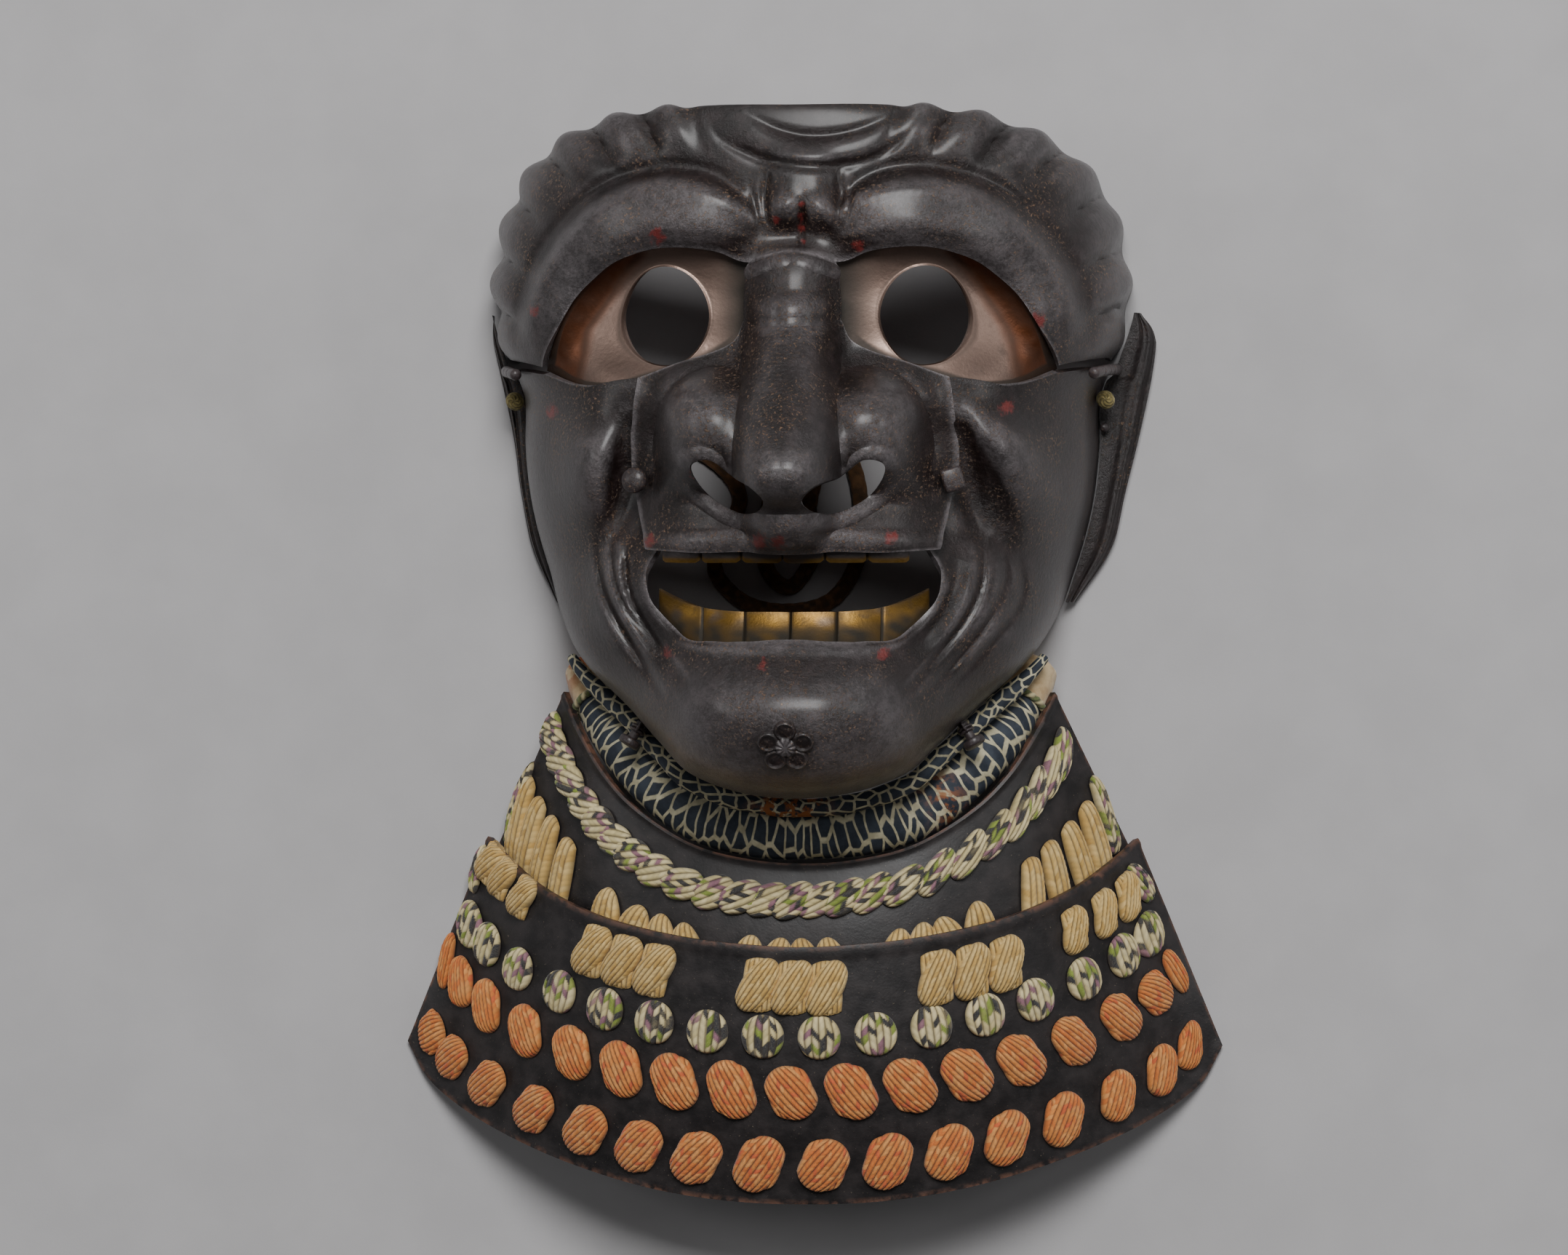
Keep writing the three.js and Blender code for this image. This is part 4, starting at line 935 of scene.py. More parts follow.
@dataclass
class IronMask:
    """The three iron plates of the face."""

    brow_cells: tuple[int, int] = (310, 80)
    cheek_cells: tuple[int, int] = (310, 88)
    nose_cells: tuple[int, int] = (180, 130)
    # how far the cheeks are sunk under the nose plate
    tuck: float = 2.0
    # heights between which the nostrils are cut
    cutter: tuple[float, float] = (55.0, 130.0)

    def rows(self, edge: Sequence, turn: float) -> Array:
        """Edge as direction, share and rim angle (degrees), both halves."""
        table = np.array(edge, dtype=float)
        angle, share = polar(table[:, 0], table[:, 1])
        half = np.stack([angle / DEG, share, table[:, 2]], axis=-1)
        other = half[:-1][::-1] * [-1, 1, -1] + [turn, 0, turn]
        return np.vstack([half, other])

    def rim_plate(self, name: str, edge: Sequence, turn: float, cells: tuple[int, int],
                  flute: float, tuck: float, seed: int, swing: float) -> bpy.types.Object:
        """A plate from an inner edge out to the rim of the face.

        Args:
            name: the CAD node whose place it takes.
            edge: table of the inner edge.
            turn: direction of the middle line, doubled, in degrees.
            cells: cells along and across.
            flute: height of the flutes of the rim.
            tuck: how far it is sunk under the nose plate.
            seed: for the patchiness of its wear.
            swing: below 1, directions turn to the rim's sooner, which keeps the
                plate on its own side of a slanting edge.

        Returns:
            The new object.
        """
        rows = self.rows(edge, turn)

        def place(u: Array, v: Array, lift: float) -> Array:
            angle, share, rim = np.moveaxis(spline(rows, u), -1, 0)
            down = np.where(rim > -90, rim, -180 - rim)
            hidden = (tuck * np.clip((12 - np.abs(down + 11)) / 5, 0, 1)
                      * np.clip(1 - v / 0.25, 0, 1))
            where = (angle + (rim - angle) * v ** swing) * DEG
            return skin(where, share + (1 - share) * v, lift - hidden, flute)

        def back(u: Array, v: Array) -> Array:
            points = place(u, v, -IRON)
            points[:, -1, 2] = place(u, v, 0.0)[:, -1, 2]
            return points

        def marks(points: Array, u: Array, v: Array) -> Marks:
            edge_line = np.maximum(1 - smooth(v, 0.0, 0.022), smooth(v, 0.985, 1.0))
            return plate_marks(points, edge_line, seed)

        obj = sheet_object(name + "_modelled", lambda u, v: place(u, v, 0.0), back, *cells,
                           (Finish.IRON.material, Finish.RED.material), extra=marks)
        stand_in(obj, "russet_iron", name)
        return obj

    def nose_patch(self, u: Array, v: Array) -> tuple[Array, Array]:
        """Plan of the nose plate between its four edges."""
        top, foot = spline(mirrored(NOSE_TOP), u), spline(mirrored(NOSE_FOOT), u)
        side = spline(np.array(NOSE_SIDE), v)
        u1, v1 = u[..., None], v[..., None]
        straight = (1 - v1) * np.array(NOSE_SIDE[0]) + v1 * np.array(NOSE_SIDE[-1])
        across = np.concatenate([2 * u1 - 1, np.ones_like(u1)], axis=-1)
        plan = (1 - v1) * top + v1 * foot + (side - straight) * across
        return plan[..., 0], plan[..., 1]

    def nose(self) -> bpy.types.Object:
        """The nose plate with its nostrils cut through."""
        def place(u: Array, v: Array, lift: float) -> Array:
            angle, share = polar(*self.nose_patch(u, v))
            return skin(angle, share, lift)

        def marks(points: Array, u: Array, v: Array) -> Marks:
            border = np.minimum(np.minimum(u, 1 - u), np.minimum(v, 1 - v) * 0.8)
            return plate_marks(points, 1 - smooth(border, 0.0, 0.014), 3)

        obj = sheet_object("nose_plate_modelled", lambda u, v: place(u, v, NOSE_LIFT + IRON),
                           lambda u, v: place(u, v, NOSE_LIFT), *self.nose_cells,
                           (Finish.IRON.material, Finish.RED.material), extra=marks)
        for side in (1, -1):
            cut_through(obj, [(x * side, y) for x, y in NOSTRIL], *self.cutter)
        stand_in(obj, "russet_iron", "nose_plate")
        return obj

    def build(self) -> None:
        """Makes the plates in place of the plain ones."""
        self.rim_plate("brow_plate", BROW_EDGE, 180, self.brow_cells, FLUTE_H, 0.0, 1, 1.0)
        self.rim_plate("cheek_plate", CHEEK_EDGE, -180, self.cheek_cells, 0.0, self.tuck, 2,
                       0.65)
        self.nose()


def cut_through(obj: bpy.types.Object, outline: Sequence[tuple[float, float]], low: float,
                high: float) -> None:
    """Cuts a smooth hole through a piece along Z.

    Args:
        obj: the piece.
        outline: the hole in plan, in millimetres.
        low: where the cutter starts.
        high: where it ends.
    """
    closed = np.array(list(outline) * 3, dtype=float)
    count = len(outline)
    t = np.linspace(count, 2 * count, 64, endpoint=False) / (len(closed) - 1)
    ring = spline(closed, t)
    n = len(ring)
    points = placed(np.vstack([np.column_stack([ring, np.full(n, z)]) for z in (low, high)]))
    faces = [tuple(range(n))[::-1], tuple(range(n, 2 * n))]
    faces += [(i, (i + 1) % n, n + (i + 1) % n, n + i) for i in range(n)]
    mesh = bpy.data.meshes.new("cutter")
    mesh.from_pydata(points.tolist(), [], faces)
    face_out(mesh)
    cutter = bpy.data.objects.new("cutter", mesh)
    bpy.context.scene.collection.objects.link(cutter)
    modifier = obj.modifiers.new("hole", "BOOLEAN")
    modifier.operation, modifier.solver, modifier.object = "DIFFERENCE", "MANIFOLD", cutter
    select_only(obj)
    bpy.ops.object.modifier_apply(modifier=modifier.name)
    bpy.data.objects.remove(cutter)
    bpy.data.meshes.remove(mesh)


# eye plates and teeth
EYE_LOOP = np.array(EYE_EDGE + (EYE_EDGE[0],))


@dataclass
class EyePlates:
    """Copper sheets behind the eye openings, each with a round sight hole."""

    cells: tuple[int, int] = (160, 46)
    rim_width: float = 0.4
    rim_height: float = 0.35
    # y, then x of the line where the sheet turns rust-red
    band: tuple = ((66, 71, 85, 98, 104), (59, 58.4, 55.4, 46, 41))

    def ring(self, side: int, u: Array, v: Array, lift: float) -> Array:
        """Place on the sheet, from the hole out to behind the iron."""
        hole = np.array(EYE_HOLE)
        edge = spline(EYE_LOOP, u)
        away = unit(edge - hole)
        outer = edge + away * EYE_OVERLAP
        inner = hole + away * EYE_HOLE_R
        plan = inner + (outer - inner) * v[..., None]
        angle, share = polar(plan[..., 0], plan[..., 1])
        raised = self.rim_height * (1 - smooth(v * 16, 0.0, self.rim_width * 2))
        points = skin(angle, share, raised - IRON - EYE_GAP - lift, fine=False)
        points[..., 0] *= side
        return points

    def marks(self, points: Array, u: Array, v: Array) -> Marks:
        """Rust-red outer band, pale middle, darker inner end and painted shade along the iron's
        edge, widest along the lower edge.
        """
        x, y = np.abs(points[..., 0]), points[..., 1]
        hole_x, hole_y = EYE_HOLE
        line = np.interp(y, self.band[0], self.band[1]) + 0.8 * ripple(points, 14, 5)
        tone = smooth(x - line, -3.5, 1.0) * (0.85 + 0.15 * ripple(points, 5, 7))
        streak = 0.55 * np.exp(-((x - line) / 1.3) ** 2)
        inner = 0.95 * smooth(hole_x - x, 10, 22)
        edge = spline(EYE_LOOP, u)
        inside = np.linalg.norm(edge - np.array(EYE_HOLE), axis=-1) - EYE_HOLE_R
        inside = inside - (inside + EYE_OVERLAP) * v
        # painted shade: darker along the iron's edge round the eye, widest and darkest along the
        # lower edge
        low = smooth(hole_y - y, -6, 8)
        deep = 1.3 + 2.6 * low * smooth(hole_x + 16 - x, 0, 12)
        shade = (1 - smooth(inside / deep, 0.5, 1.0)) * (0.45 + 0.4 * low)
        grime = np.maximum(np.maximum(streak, inner), shade)
        grime = grime + 0.08 * ripple(points, 8, 6) * smooth(v, 0.1, 0.4)
        round_hole = 0.4 * smooth(v, 0.05, 0.07) * (1 - smooth(v, 0.08, 0.14))
        return {"tone": tone, "grime": np.clip(np.maximum(grime, round_hole), 0, 1)}

    def build(self) -> None:
        """Makes both sheets in place of the plain ones."""
        for side, label in SIDES:
            obj = sheet_object(f"eye_plate_{label}_modelled",
                               lambda u, v: self.ring(side, u, v, 0.0),
                               lambda u, v: self.ring(side, u, v, EYE_SHEET),
                               *self.cells, (Finish.COPPER.material,), ring=True,
                               extra=self.marks)
            stand_in(obj, "copper", f"eye_plate_{label}")


@dataclass
class Teeth:
    """One gilt row of teeth following the face.

    An edge is its y on the middle line, then how much higher it is at the ends of the
    row; half is half the row's width and notch the depth of the gaps between teeth.
    """

    name: str
    half: float
    lift: float
    notch: float
    top: tuple[float, float]
    foot: tuple[float, float]
    count: int = 6
    groove: float = 0.5
    thick: float = 1.1
    shift: float = 0.0
    gilt_from: float = 0.0
    cells: tuple[int, int] = (220, 14)

    def place(self, u: Array, v: Array, depth: float) -> Array:
        """Place on the strip at a depth behind its front."""
        x = self.half * (2 * u - 1)
        bend = (x / self.half) ** 2
        x = x + self.shift
        beat = np.abs(np.mod(u * self.count + 0.5, 1) - 0.5)
        gap = self.notch * np.maximum(0, 1 - 9 * beat)
        top, foot = (level + rise * bend * bend for level, rise in (self.top, self.foot))
        y = top + (foot + gap - top) * v
        angle, share = polar(x, y)
        crown = 0.0 if depth else (0.55 * np.sin(math.pi * np.clip(beat, 0, 1)) ** 0.5
                                   - self.groove * np.exp(-(beat / 0.018) ** 2))
        lift = np.ones_like(x) * (self.lift - depth + crown)
        normal = face_normal(angle, share, False)
        return face_point(angle, share, False) + normal * lift[..., None]

    def marks(self, points: Array, u: Array, v: Array) -> Marks:
        """Darker in the grooves and, on the lower row, towards the foot; worn iron along the edge.
        """
        beat = np.abs(np.mod(u * self.count + 0.5, 1) - 0.5)
        low = 0.0 if self.gilt_from else smooth(v, 0.16, 0.5) * 0.85
        # darker in the grooves between teeth and, on the lower row, towards the foot
        grime = np.exp(-(beat / 0.03) ** 2) + low + 0.35 * ripple(points, 5, 8)
        iron = 1 - smooth(v, self.gilt_from - 0.12, self.gilt_from + 0.05)
        worn = smooth(ripple(points, 8, 9), 0.3, 0.9) * 0.6
        return {"grime": np.clip(grime, 0, 1), "tone": np.maximum(worn, iron)}

    def build(self) -> None:
        """Makes the strip in place of the plain one."""
        obj = sheet_object(self.name + "_modelled", lambda u, v: self.place(u, v, 0.0),
                           lambda u, v: self.place(u, v, self.thick), *self.cells,
                           (Finish.GILT.material,), extra=self.marks)
        stand_in(obj, "gilt_teeth", self.name)


# throat guard
Surface = Callable[[Array, Array], Array]


def lame_surface(top: Sequence, foot: Sequence, bulge: float) -> Surface:
    """The front of a lame as a function of (u, v), from its two edges."""
    rows_top, rows_foot = mirrored(top), mirrored(foot)

    def at(u: Array, v: Array) -> Array:
        side = v[..., None]
        points = spline(rows_top, u) * (1 - side) + spline(rows_foot, u) * side
        points[..., 2] += bulge * np.sin(math.pi * v) * np.sin(math.pi * u)
        return points

    return at


def lifted(surface: Surface, u: Array, v: Array,
           lift: Array | float) -> Array:
    """Surface moved out along its normal."""
    pu = surface(np.clip(u + STEP, 0, 1), v) - surface(np.clip(u - STEP, 0, 1), v)
    pv = surface(u, np.clip(v + STEP, 0, 1)) - surface(u, np.clip(v - STEP, 0, 1))
    normal = unit(np.cross(pv, pu))
    return surface(u, v) + normal * (np.ones_like(u) * lift)[..., None]


def rates(surface: Surface, u: float, v: float) -> tuple[Array, Array]:
    """Millimetres that a lame runs for each unit of u and of v at a place."""
    e = 0.01
    low, high = max(u - e, 0.0), min(u + e, 1.0)
    ends_u = surface(np.array([low, high]), np.array([v, v]))
    ends_v = surface(np.array([u, u]), np.array([v - e, v + e]))
    return (ends_u[1] - ends_u[0]) / (high - low), (ends_v[1] - ends_v[0]) / (2 * e)


UPPER_LAME = lame_surface(UPPER_TOP, UPPER_FOOT, UPPER_BULGE)
LOWER_LAME = lame_surface(LOWER_TOP, LOWER_FOOT, LOWER_BULGE)


@dataclass
class Lame:
    """One lacquered iron lame with a raised rim."""

    name: str
    surface: Surface
    cells: tuple[int, int] = (170, 44)
    rim: float = 0.012
    rim_height: float = 0.5

    def front(self, u: Array, v: Array) -> Array:
        """The lacquered face, turned up along its upper edge."""
        edge = v / self.rim
        raised = self.rim_height * np.exp(-((edge - 1.6) / 1.6) ** 2)
        low = 0.25 * np.exp(-(((1 - v) / self.rim - 1.0) / 1.2) ** 2)
        flow = 0.12 * ripple(self.surface(u, v), 40, 12)
        return lifted(self.surface, u, v, raised + low + flow * np.sin(math.pi * v))

    def marks(self, points: Array, u: Array, v: Array) -> Marks:
        """Lacquer worn through along the rims."""
        top, foot = smooth(-v, -0.02, 0.0), smooth(v, 0.99, 1.0)
        sides = np.maximum(smooth(-u, -0.004, 0.0), smooth(u, 0.996, 1.0))
        chips = smooth(ripple(points, 7, 13), 0.75, 1.0) * smooth(-v, -0.04, -0.01)
        rim = np.maximum(np.maximum(top, foot), sides) * (0.65 + 0.35 * ripple(points, 11, 14))
        return {"wear": np.clip(rim + chips, 0, 1)}

    def build(self) -> None:
        """Makes the lame in place of the plain one."""
        obj = sheet_object(self.name + "_modelled", self.front,
                           lambda u, v: lifted(self.surface, u, v, -LAME), *self.cells,
                           (Finish.BLACK.material,), extra=self.marks)
        stand_in(obj, "black_lacquer", self.name)


# silk lacing
@dataclass(frozen=True)
class Palette:
    """Strand colours with how often each comes."""

    colours: tuple[str, ...]
    shares: tuple[float, ...]

    def pick(self, chance: Array) -> Array:
        """Linear colours for numbers in 0..1."""
        bounds = np.cumsum(self.shares) / sum(self.shares)
        table = np.array([rgb(c) for c in self.colours])
        return table[np.clip(np.searchsorted(bounds, chance), 0, len(table) - 1)]


ORANGE_SILK = Palette(("dd8a42", "e59c56", "d67734", "d46236"), (4, 3, 3, 1.0))
MIXED_SILK = Palette(("e4d3a0", "d6c48c", "81942e", "0d1226", "8f5f72"),
                     (3.6, 2.6, 1.2, 2.5, 1.3))
BEIGE_SILK = Palette(("dab46a", "e2c07c", "cda458"), (3, 3, 2))


def hashed(a: Array, b: Array, seed: int) -> Array:
    """Repeatable number in 0..1 for two whole numbers."""
    value = np.sin(a * 127.1 + b * 311.7 + seed * 74.7) * 43758.5453
    return value - np.floor(value)


def hashed_one(i: int) -> float:
    """Repeatable number in -1..1 for a whole number."""
    return float(hashed(np.array(float(i)), np.array(1.0), 2)) * 2 - 1


@dataclass
class Strap:
    """A short stretch of flat braid lying on a lame.

    It lies at centre (u, v), turned from the u direction; round pulls its corners in,
    wales are its columns of stitches, a stitch being pitch long.
    """

    surface: Surface
    centre: tuple[float, float]
    turn: float
    length: float
    width: float
    tall: float
    palette: Palette
    seed: int
    base: float = 0.4
    wales: int = 8
    pitch: float = 1.5
    round: float = 0.85
    taper: float = 0.0

    def outline(self, p: Array, q: Array) -> tuple[Array, Array]:
        """Millimetres along and across the strap of a place in -1..1."""
        a = p * np.sqrt(1 - self.round * q * q / 2) * self.length / 2
        b = q * np.sqrt(1 - self.round * p * p / 2) * self.width / 2
        return a, b * (1 - self.taper * np.clip(-p, 0, 1))

    def place(self, a: Array, b: Array, height: Array) -> Array:
        """Points on the lame, at a height over it."""
        cos, sin = math.cos(self.turn), math.sin(self.turn)
        per_u, per_v = (np.linalg.norm(r) for r in rates(self.surface, *self.centre))
        u = np.clip(self.centre[0] + (a * cos - b * sin) / per_u, 0.003, 0.997)
        v = self.centre[1] + (a * sin + b * cos) / per_v
        return lifted(self.surface, u, v, height)

    def mesh(self) -> tuple[Array, list, Array, Array]:
        """Points, faces, strand colours and painted crevice shade of the strap."""
        coarse = 1
        nu = max(10, int(self.length / 0.4) // coarse)
        nv = max(8, self.wales * 5 // coarse)
        p, q = np.meshgrid(np.linspace(-1, 1, nu + 1), np.linspace(-1, 1, nv + 1),
                           indexing="ij")
        a, b = self.outline(p, q)
        wale = np.floor((q * 0.4999 + 0.5) * self.wales)
        across = (q * 0.5 + 0.5) * self.wales - wale - 0.5
        slant = np.where(np.mod(wale, 2) > 0, 0.9, -0.9)
        phase = a / self.pitch + slant * across + hashed(wale, wale, self.seed) * 0.15
        strand = np.floor(phase)
        stitch = np.abs(np.sin(math.pi * (phase - strand))) ** 0.55
        ridge = np.maximum(np.cos(math.pi * across), 0.0) ** 0.6
        crown = np.sqrt(np.clip((1 - np.abs(p) ** 3.2) * (1 - np.abs(q) ** 3.2), 0, 1))
        plait = (0.34 * ridge + 0.2 * stitch * ridge - 0.3) * smooth(crown, 0.0, 0.35)
        points = self.place(a, b, self.base + self.tall * crown + plait)
        shade = 0.9 + 0.2 * hashed(wale, strand, self.seed + 5)
        tint = self.palette.pick(hashed(strand, wale, self.seed)) * shade[..., None]
        # painted shade: darker between the wales and stitches and round the strap's edge
        crevice_shade = np.clip(1 - ridge * (0.55 + 0.45 * stitch), 0, 1) ** 1.4
        crevice_shade = np.maximum(crevice_shade, (1 - smooth(crown, 0.0, 0.5)) * 0.7)
        index = np.arange((nu + 1) * (nv + 1)).reshape(nu + 1, nv + 1)
        underside = np.concatenate([index[:-1, 0], index[-1, :-1], index[:0:-1, -1],
                                    index[0, :0:-1]])
        return (points.reshape(-1, 3), grid_faces(nu, nv, False).tolist() + [underside.tolist()],
                tint.reshape(-1, 3), crevice_shade.reshape(-1))


def lace(name: str, straps: Iterable[Strap], finish: Finish, slot: str,
         replaced: Sequence[str] = ()) -> bpy.types.Object:
    """One piece made of many straps, each a closed body.

    Args:
        name: the piece's name.
        straps: its straps.
        finish: the thread.
        slot: the CAD's material slot; not used.
        replaced: CAD nodes whose place it takes.

    Returns:
        The new object.
    """
    points, faces, tints, crevice_shades, offset = [], [], [], [], 0
    for strap in straps:
        p, f, tint, crevice_shade = strap.mesh()
        points.append(p)
        tints.append(tint)
        crevice_shades.append(crevice_shade)
        faces += [tuple(i + offset for i in face) for face in f]
        offset += len(p)
    obj = build_object(name, np.vstack(points), faces, (finish.material,),
                       extra={"tint": np.vstack(tints), "crevice_shade": np.concatenate(crevice_shades)},
                       smooth_angle=60)
    stand_in(obj, slot, *replaced)
    return obj


@dataclass
class Row:
    """Evenly spread stitches along a lame."""

    count: int
    level: float
    middle: float = 0.4912
    step: float = 0.0655
    crowd: float = 0.0016

    def places(self) -> list[tuple[float, float]]:
        """(u, v) of each, set closer towards the ends."""
        from_middle = [i - (self.count - 1) / 2 for i in range(self.count)]
        return [(self.middle + self.step * k * (1 - self.crowd * k * k), self.level)
                for k in from_middle]


@dataclass
class Lacing:
    """All the silk of the throat guard."""

    knot: tuple[float, float] = (17.4, 12.0)
    # u v of the row of braid on the upper lame, from end to end
    braid_row: tuple = ((0.004, 0.20), (0.1, 0.25), (0.2, 0.285), (0.29, 0.315), (0.4, 0.298),
                        (0.5, 0.285), (0.6, 0.275), (0.72, 0.27), (0.84, 0.26), (0.94, 0.24))
    # u and v of the top, then of the foot, of each strap at the sides
    left_straps: tuple = ((0.033, 0.49, 0.03, 0.97), (0.077, 0.50, 0.066, 0.97),
                          (0.114, 0.50, 0.106, 0.98), (0.154, 0.51, 0.146, 0.98))
    right_straps: tuple = ((0.816, 0.53, 0.812, 0.97), (0.85, 0.53, 0.856, 0.97),
                           (0.89, 0.54, 0.9, 0.97), (0.93, 0.54, 0.942, 0.97))
    edge_straps: tuple = ((0.012, 0.42, 0.012, 0.93), (0.972, 0.49, 0.984, 0.93))
    # each beige group of the lower lame: its label, then u and v of its middle knot
    groups: tuple = (("outer_left", 0.085, 0.075), ("inner_left", 0.279, 0.145),
                     ("centre", 0.4925, 0.155), ("inner_right", 0.7095, 0.17),
                     ("outer_right", 0.881, 0.155))
    # u of each tip above the rim of the lower lame
    tips: tuple = (0.232, 0.273, 0.311, 0.347, 0.428, 0.466, 0.505, 0.54, 0.626, 0.66,
                   0.694, 0.734)

    def run(self, ends: tuple[float, float, float, float], width: float, palette: Palette,
            seed: int, tall: float = 2.6) -> Strap:
        """A strap on the upper lame between two places."""
        a, b = UPPER_LAME(np.array(ends[::2]), np.array(ends[1::2]))
        middle = ((ends[0] + ends[2]) / 2, (ends[1] + ends[3]) / 2)
        along_u, along_v = (unit(r) for r in rates(UPPER_LAME, *middle))
        square = unit(along_v - along_u * (along_v @ along_u))
        turn = math.atan2(float((b - a) @ square), float((b - a) @ along_u))
        return Strap(UPPER_LAME, middle, turn, float(np.linalg.norm(b - a)), width, tall,
                     palette, seed, wales=4, pitch=1.6, round=0.5)

    def build_rows(self) -> None:
        """Orange knots in two rows and mixed single knots above them."""
        length, width = self.knot
        for name, row, lean in (("orange_knots_upper", Row(17, 0.562), 1),
                                ("orange_knots_lower", Row(16, 0.845), -1)):
            straps = []
            for i, place in enumerate(row.places()):
                end = abs(i - (row.count - 1) / 2) / row.count * 2
                size = 1 - 0.3 * end ** 3
                w = width * size
                if lean > 0 and i in (0, row.count - 1):
                    straps.append(Strap(LOWER_LAME, place, lean * 1.35, length * 0.8, w * 0.62,
                                        2.0, ORANGE_SILK, i, wales=5))
                    continue
                straps.append(Strap(LOWER_LAME, place, math.pi / 2 - lean * 0.18,
                                    length * 0.82 * size, w, 1.5, ORANGE_SILK, i + 40,
                                    wales=7))
                straps.append(Strap(LOWER_LAME, place, lean * (0.92 + 0.1 * hashed_one(i)),
                                    length * size * (0.92 + 0.04 * hashed_one(i + 7)),
                                    w * 0.96, 2.5, ORANGE_SILK, i))
            lace(name, straps, Finish.ORANGE, "mixed_silk")
        dots = [Strap(LOWER_LAME, place, math.pi / 2, 11.6, 11.4, 1.9, MIXED_SILK, i + 3,
                      wales=6, pitch=2.0, round=0.98)
                for i, place in enumerate(Row(16, 0.348).places())]
        lace("mixed_knots", dots, Finish.SILK, "mixed_silk")

    def build_upper(self) -> None:
        """The braided row under the collar and the straps at the sides."""
        t = np.linspace(0, 1, 25)
        rows = spline(np.array(self.braid_row), t)
        pads = [Strap(UPPER_LAME, (float(u), float(v)), -0.52 + 0.08 * math.sin(i * 2.3), 13.4,
                      8.2, 2.3, MIXED_SILK, i + 90, wales=5, pitch=2.0,
                      base=0.4 + 0.25 * (i % 2), round=0.9)
                for i, (u, v) in enumerate(rows)]
        lace("lacing_row_braided", pads, Finish.SILK, "mixed_silk", ["lacing_row_upper"])
        for label, table in (("left", self.left_straps), ("right", self.right_straps)):
            straps = [self.run(ends, 7.6, BEIGE_SILK, i + 3) for i, ends in enumerate(table)]
            lace(f"side_straps_{label}", straps, Finish.BEIGE, "beige_silk",
                 [f"side_lacing_{label}"])
        mixed = [self.run(ends, 5.0, MIXED_SILK, i + 31) for i, ends in enumerate(self.edge_straps)]
        lace("side_straps_mixed", mixed, Finish.SILK, "mixed_silk")
        tips = [Strap(UPPER_LAME, (u, 0.785), math.pi / 2 + 0.3 * math.sin(i * 1.7), 15.0, 9.6,
                      2.6, BEIGE_SILK, i + 60, wales=5, round=1.0, taper=0.12)
                for i, u in enumerate(self.tips)]
        lace("strap_tips", tips, Finish.BEIGE, "beige_silk")

    def build_groups(self) -> None:
        """Groups of three beige knots on the lower lame."""
        for label, u, v in self.groups:
            straps = []
            for i, k in enumerate((-1, 0, 1)):
                place = (u + 0.042 * k, v + 0.004 * k)
                small = 0.84 if "outer" in label else 1.0
                straps.append(Strap(LOWER_LAME, place, math.pi / 2, 14.4 * small, 8.4 * small, 1.5,
                                    BEIGE_SILK, i + 11, wales=6, round=0.5))
                straps.append(Strap(LOWER_LAME, place, -1.02, 16.0 * small, 8.8 * small, 2.9,
                                    BEIGE_SILK, i + 17, wales=7, round=0.9))
            lace(f"beige_knots_{label}", straps, Finish.BEIGE, "beige_silk",
                 [f"lace_knots_{label}"])
        ends = [Strap(LOWER_LAME, (0.012, 0.14), 1.35, 13.0, 5.0, 2.0, MIXED_SILK, 71, wales=4),
                Strap(LOWER_LAME, (0.958, 0.155), 1.2, 13.0, 6.4, 2.0, MIXED_SILK, 72, wales=5)]
        lace("mixed_knots_ends", ends, Finish.SILK, "mixed_silk")

    def build(self) -> None:
        """Makes every braid."""
        self.build_upper()
        self.build_groups()
        self.build_rows()


# ears, fittings and cord
@dataclass
class Ears:
    """Leaf-shaped iron plates outside the rims of the face."""

    # y, outer x on the +X side, outer x on the other
    rows: tuple = ((91.5, 90.6, 86.9), (86, 92.9, 87.4), (75, 91.9, 85.1), (58.4, 88.4, 81.6),
                   (43.8, 84.8, 79.6), (27, 80.8, 76.2), (13.5, 73.4, 70.8))
    inner: float = 6.2
    outer: float = 2.6
    gap: float = 0.5
    thick: float = 1.2
    cells: tuple[int, int] = (110, 32)

    def place(self, side: int, u: Array, v: Array, drop: float) -> Array:
        """Place on an ear, from the wall of the face outwards."""
        table = spline(np.array(self.rows), u)
        y, reach = table[..., 0], table[..., 1 if side > 0 else 2]
        # x of the face's rim at this y, found from the direction that leads there
        rim = np.full_like(y, 84.0)
        for _ in range(7):
            angle = np.arctan2(y - FACE_CENTRE_Y, rim)
            rim = face_point(angle, np.ones_like(angle), False)[..., 0]
        wall = rim + self.gap + 1.2 * smooth(y, 73.5, 74.5)
        tip = np.sin(math.pi * np.clip(0.06 + 0.88 * u, 0, 1)) ** 0.5
        x = wall + (reach - wall) * v * np.minimum(1, tip * 1.2)
        z = self.inner + (self.outer - self.inner) * v + 1.1 * np.sin(math.pi * v) - drop
        if not drop:
            z = z + 0.7 * np.exp(-((v - 0.8) / 0.09) ** 2) + 0.4 * smooth(v, 0.93, 1.0)
            z = z - 0.6 * np.exp(-((v - 0.58) / 0.12) ** 2)
        return np.stack([x * side, y, z], axis=-1)

    def build(self) -> None:
        """Makes both ears."""
        for side, label in SIDES:
            obj = sheet_object(f"ear_{label}_modelled",
                               lambda u, v: self.place(side, u, v, 0.0),
                               lambda u, v: self.place(side, u, v, self.thick), *self.cells,
                               (Finish.IRON.material,),
                               extra=lambda p, u, v: plate_marks(p, smooth(v, 0.96, 1.0), 4))
            stand_in(obj, "russet_iron", f"ear_{label}")


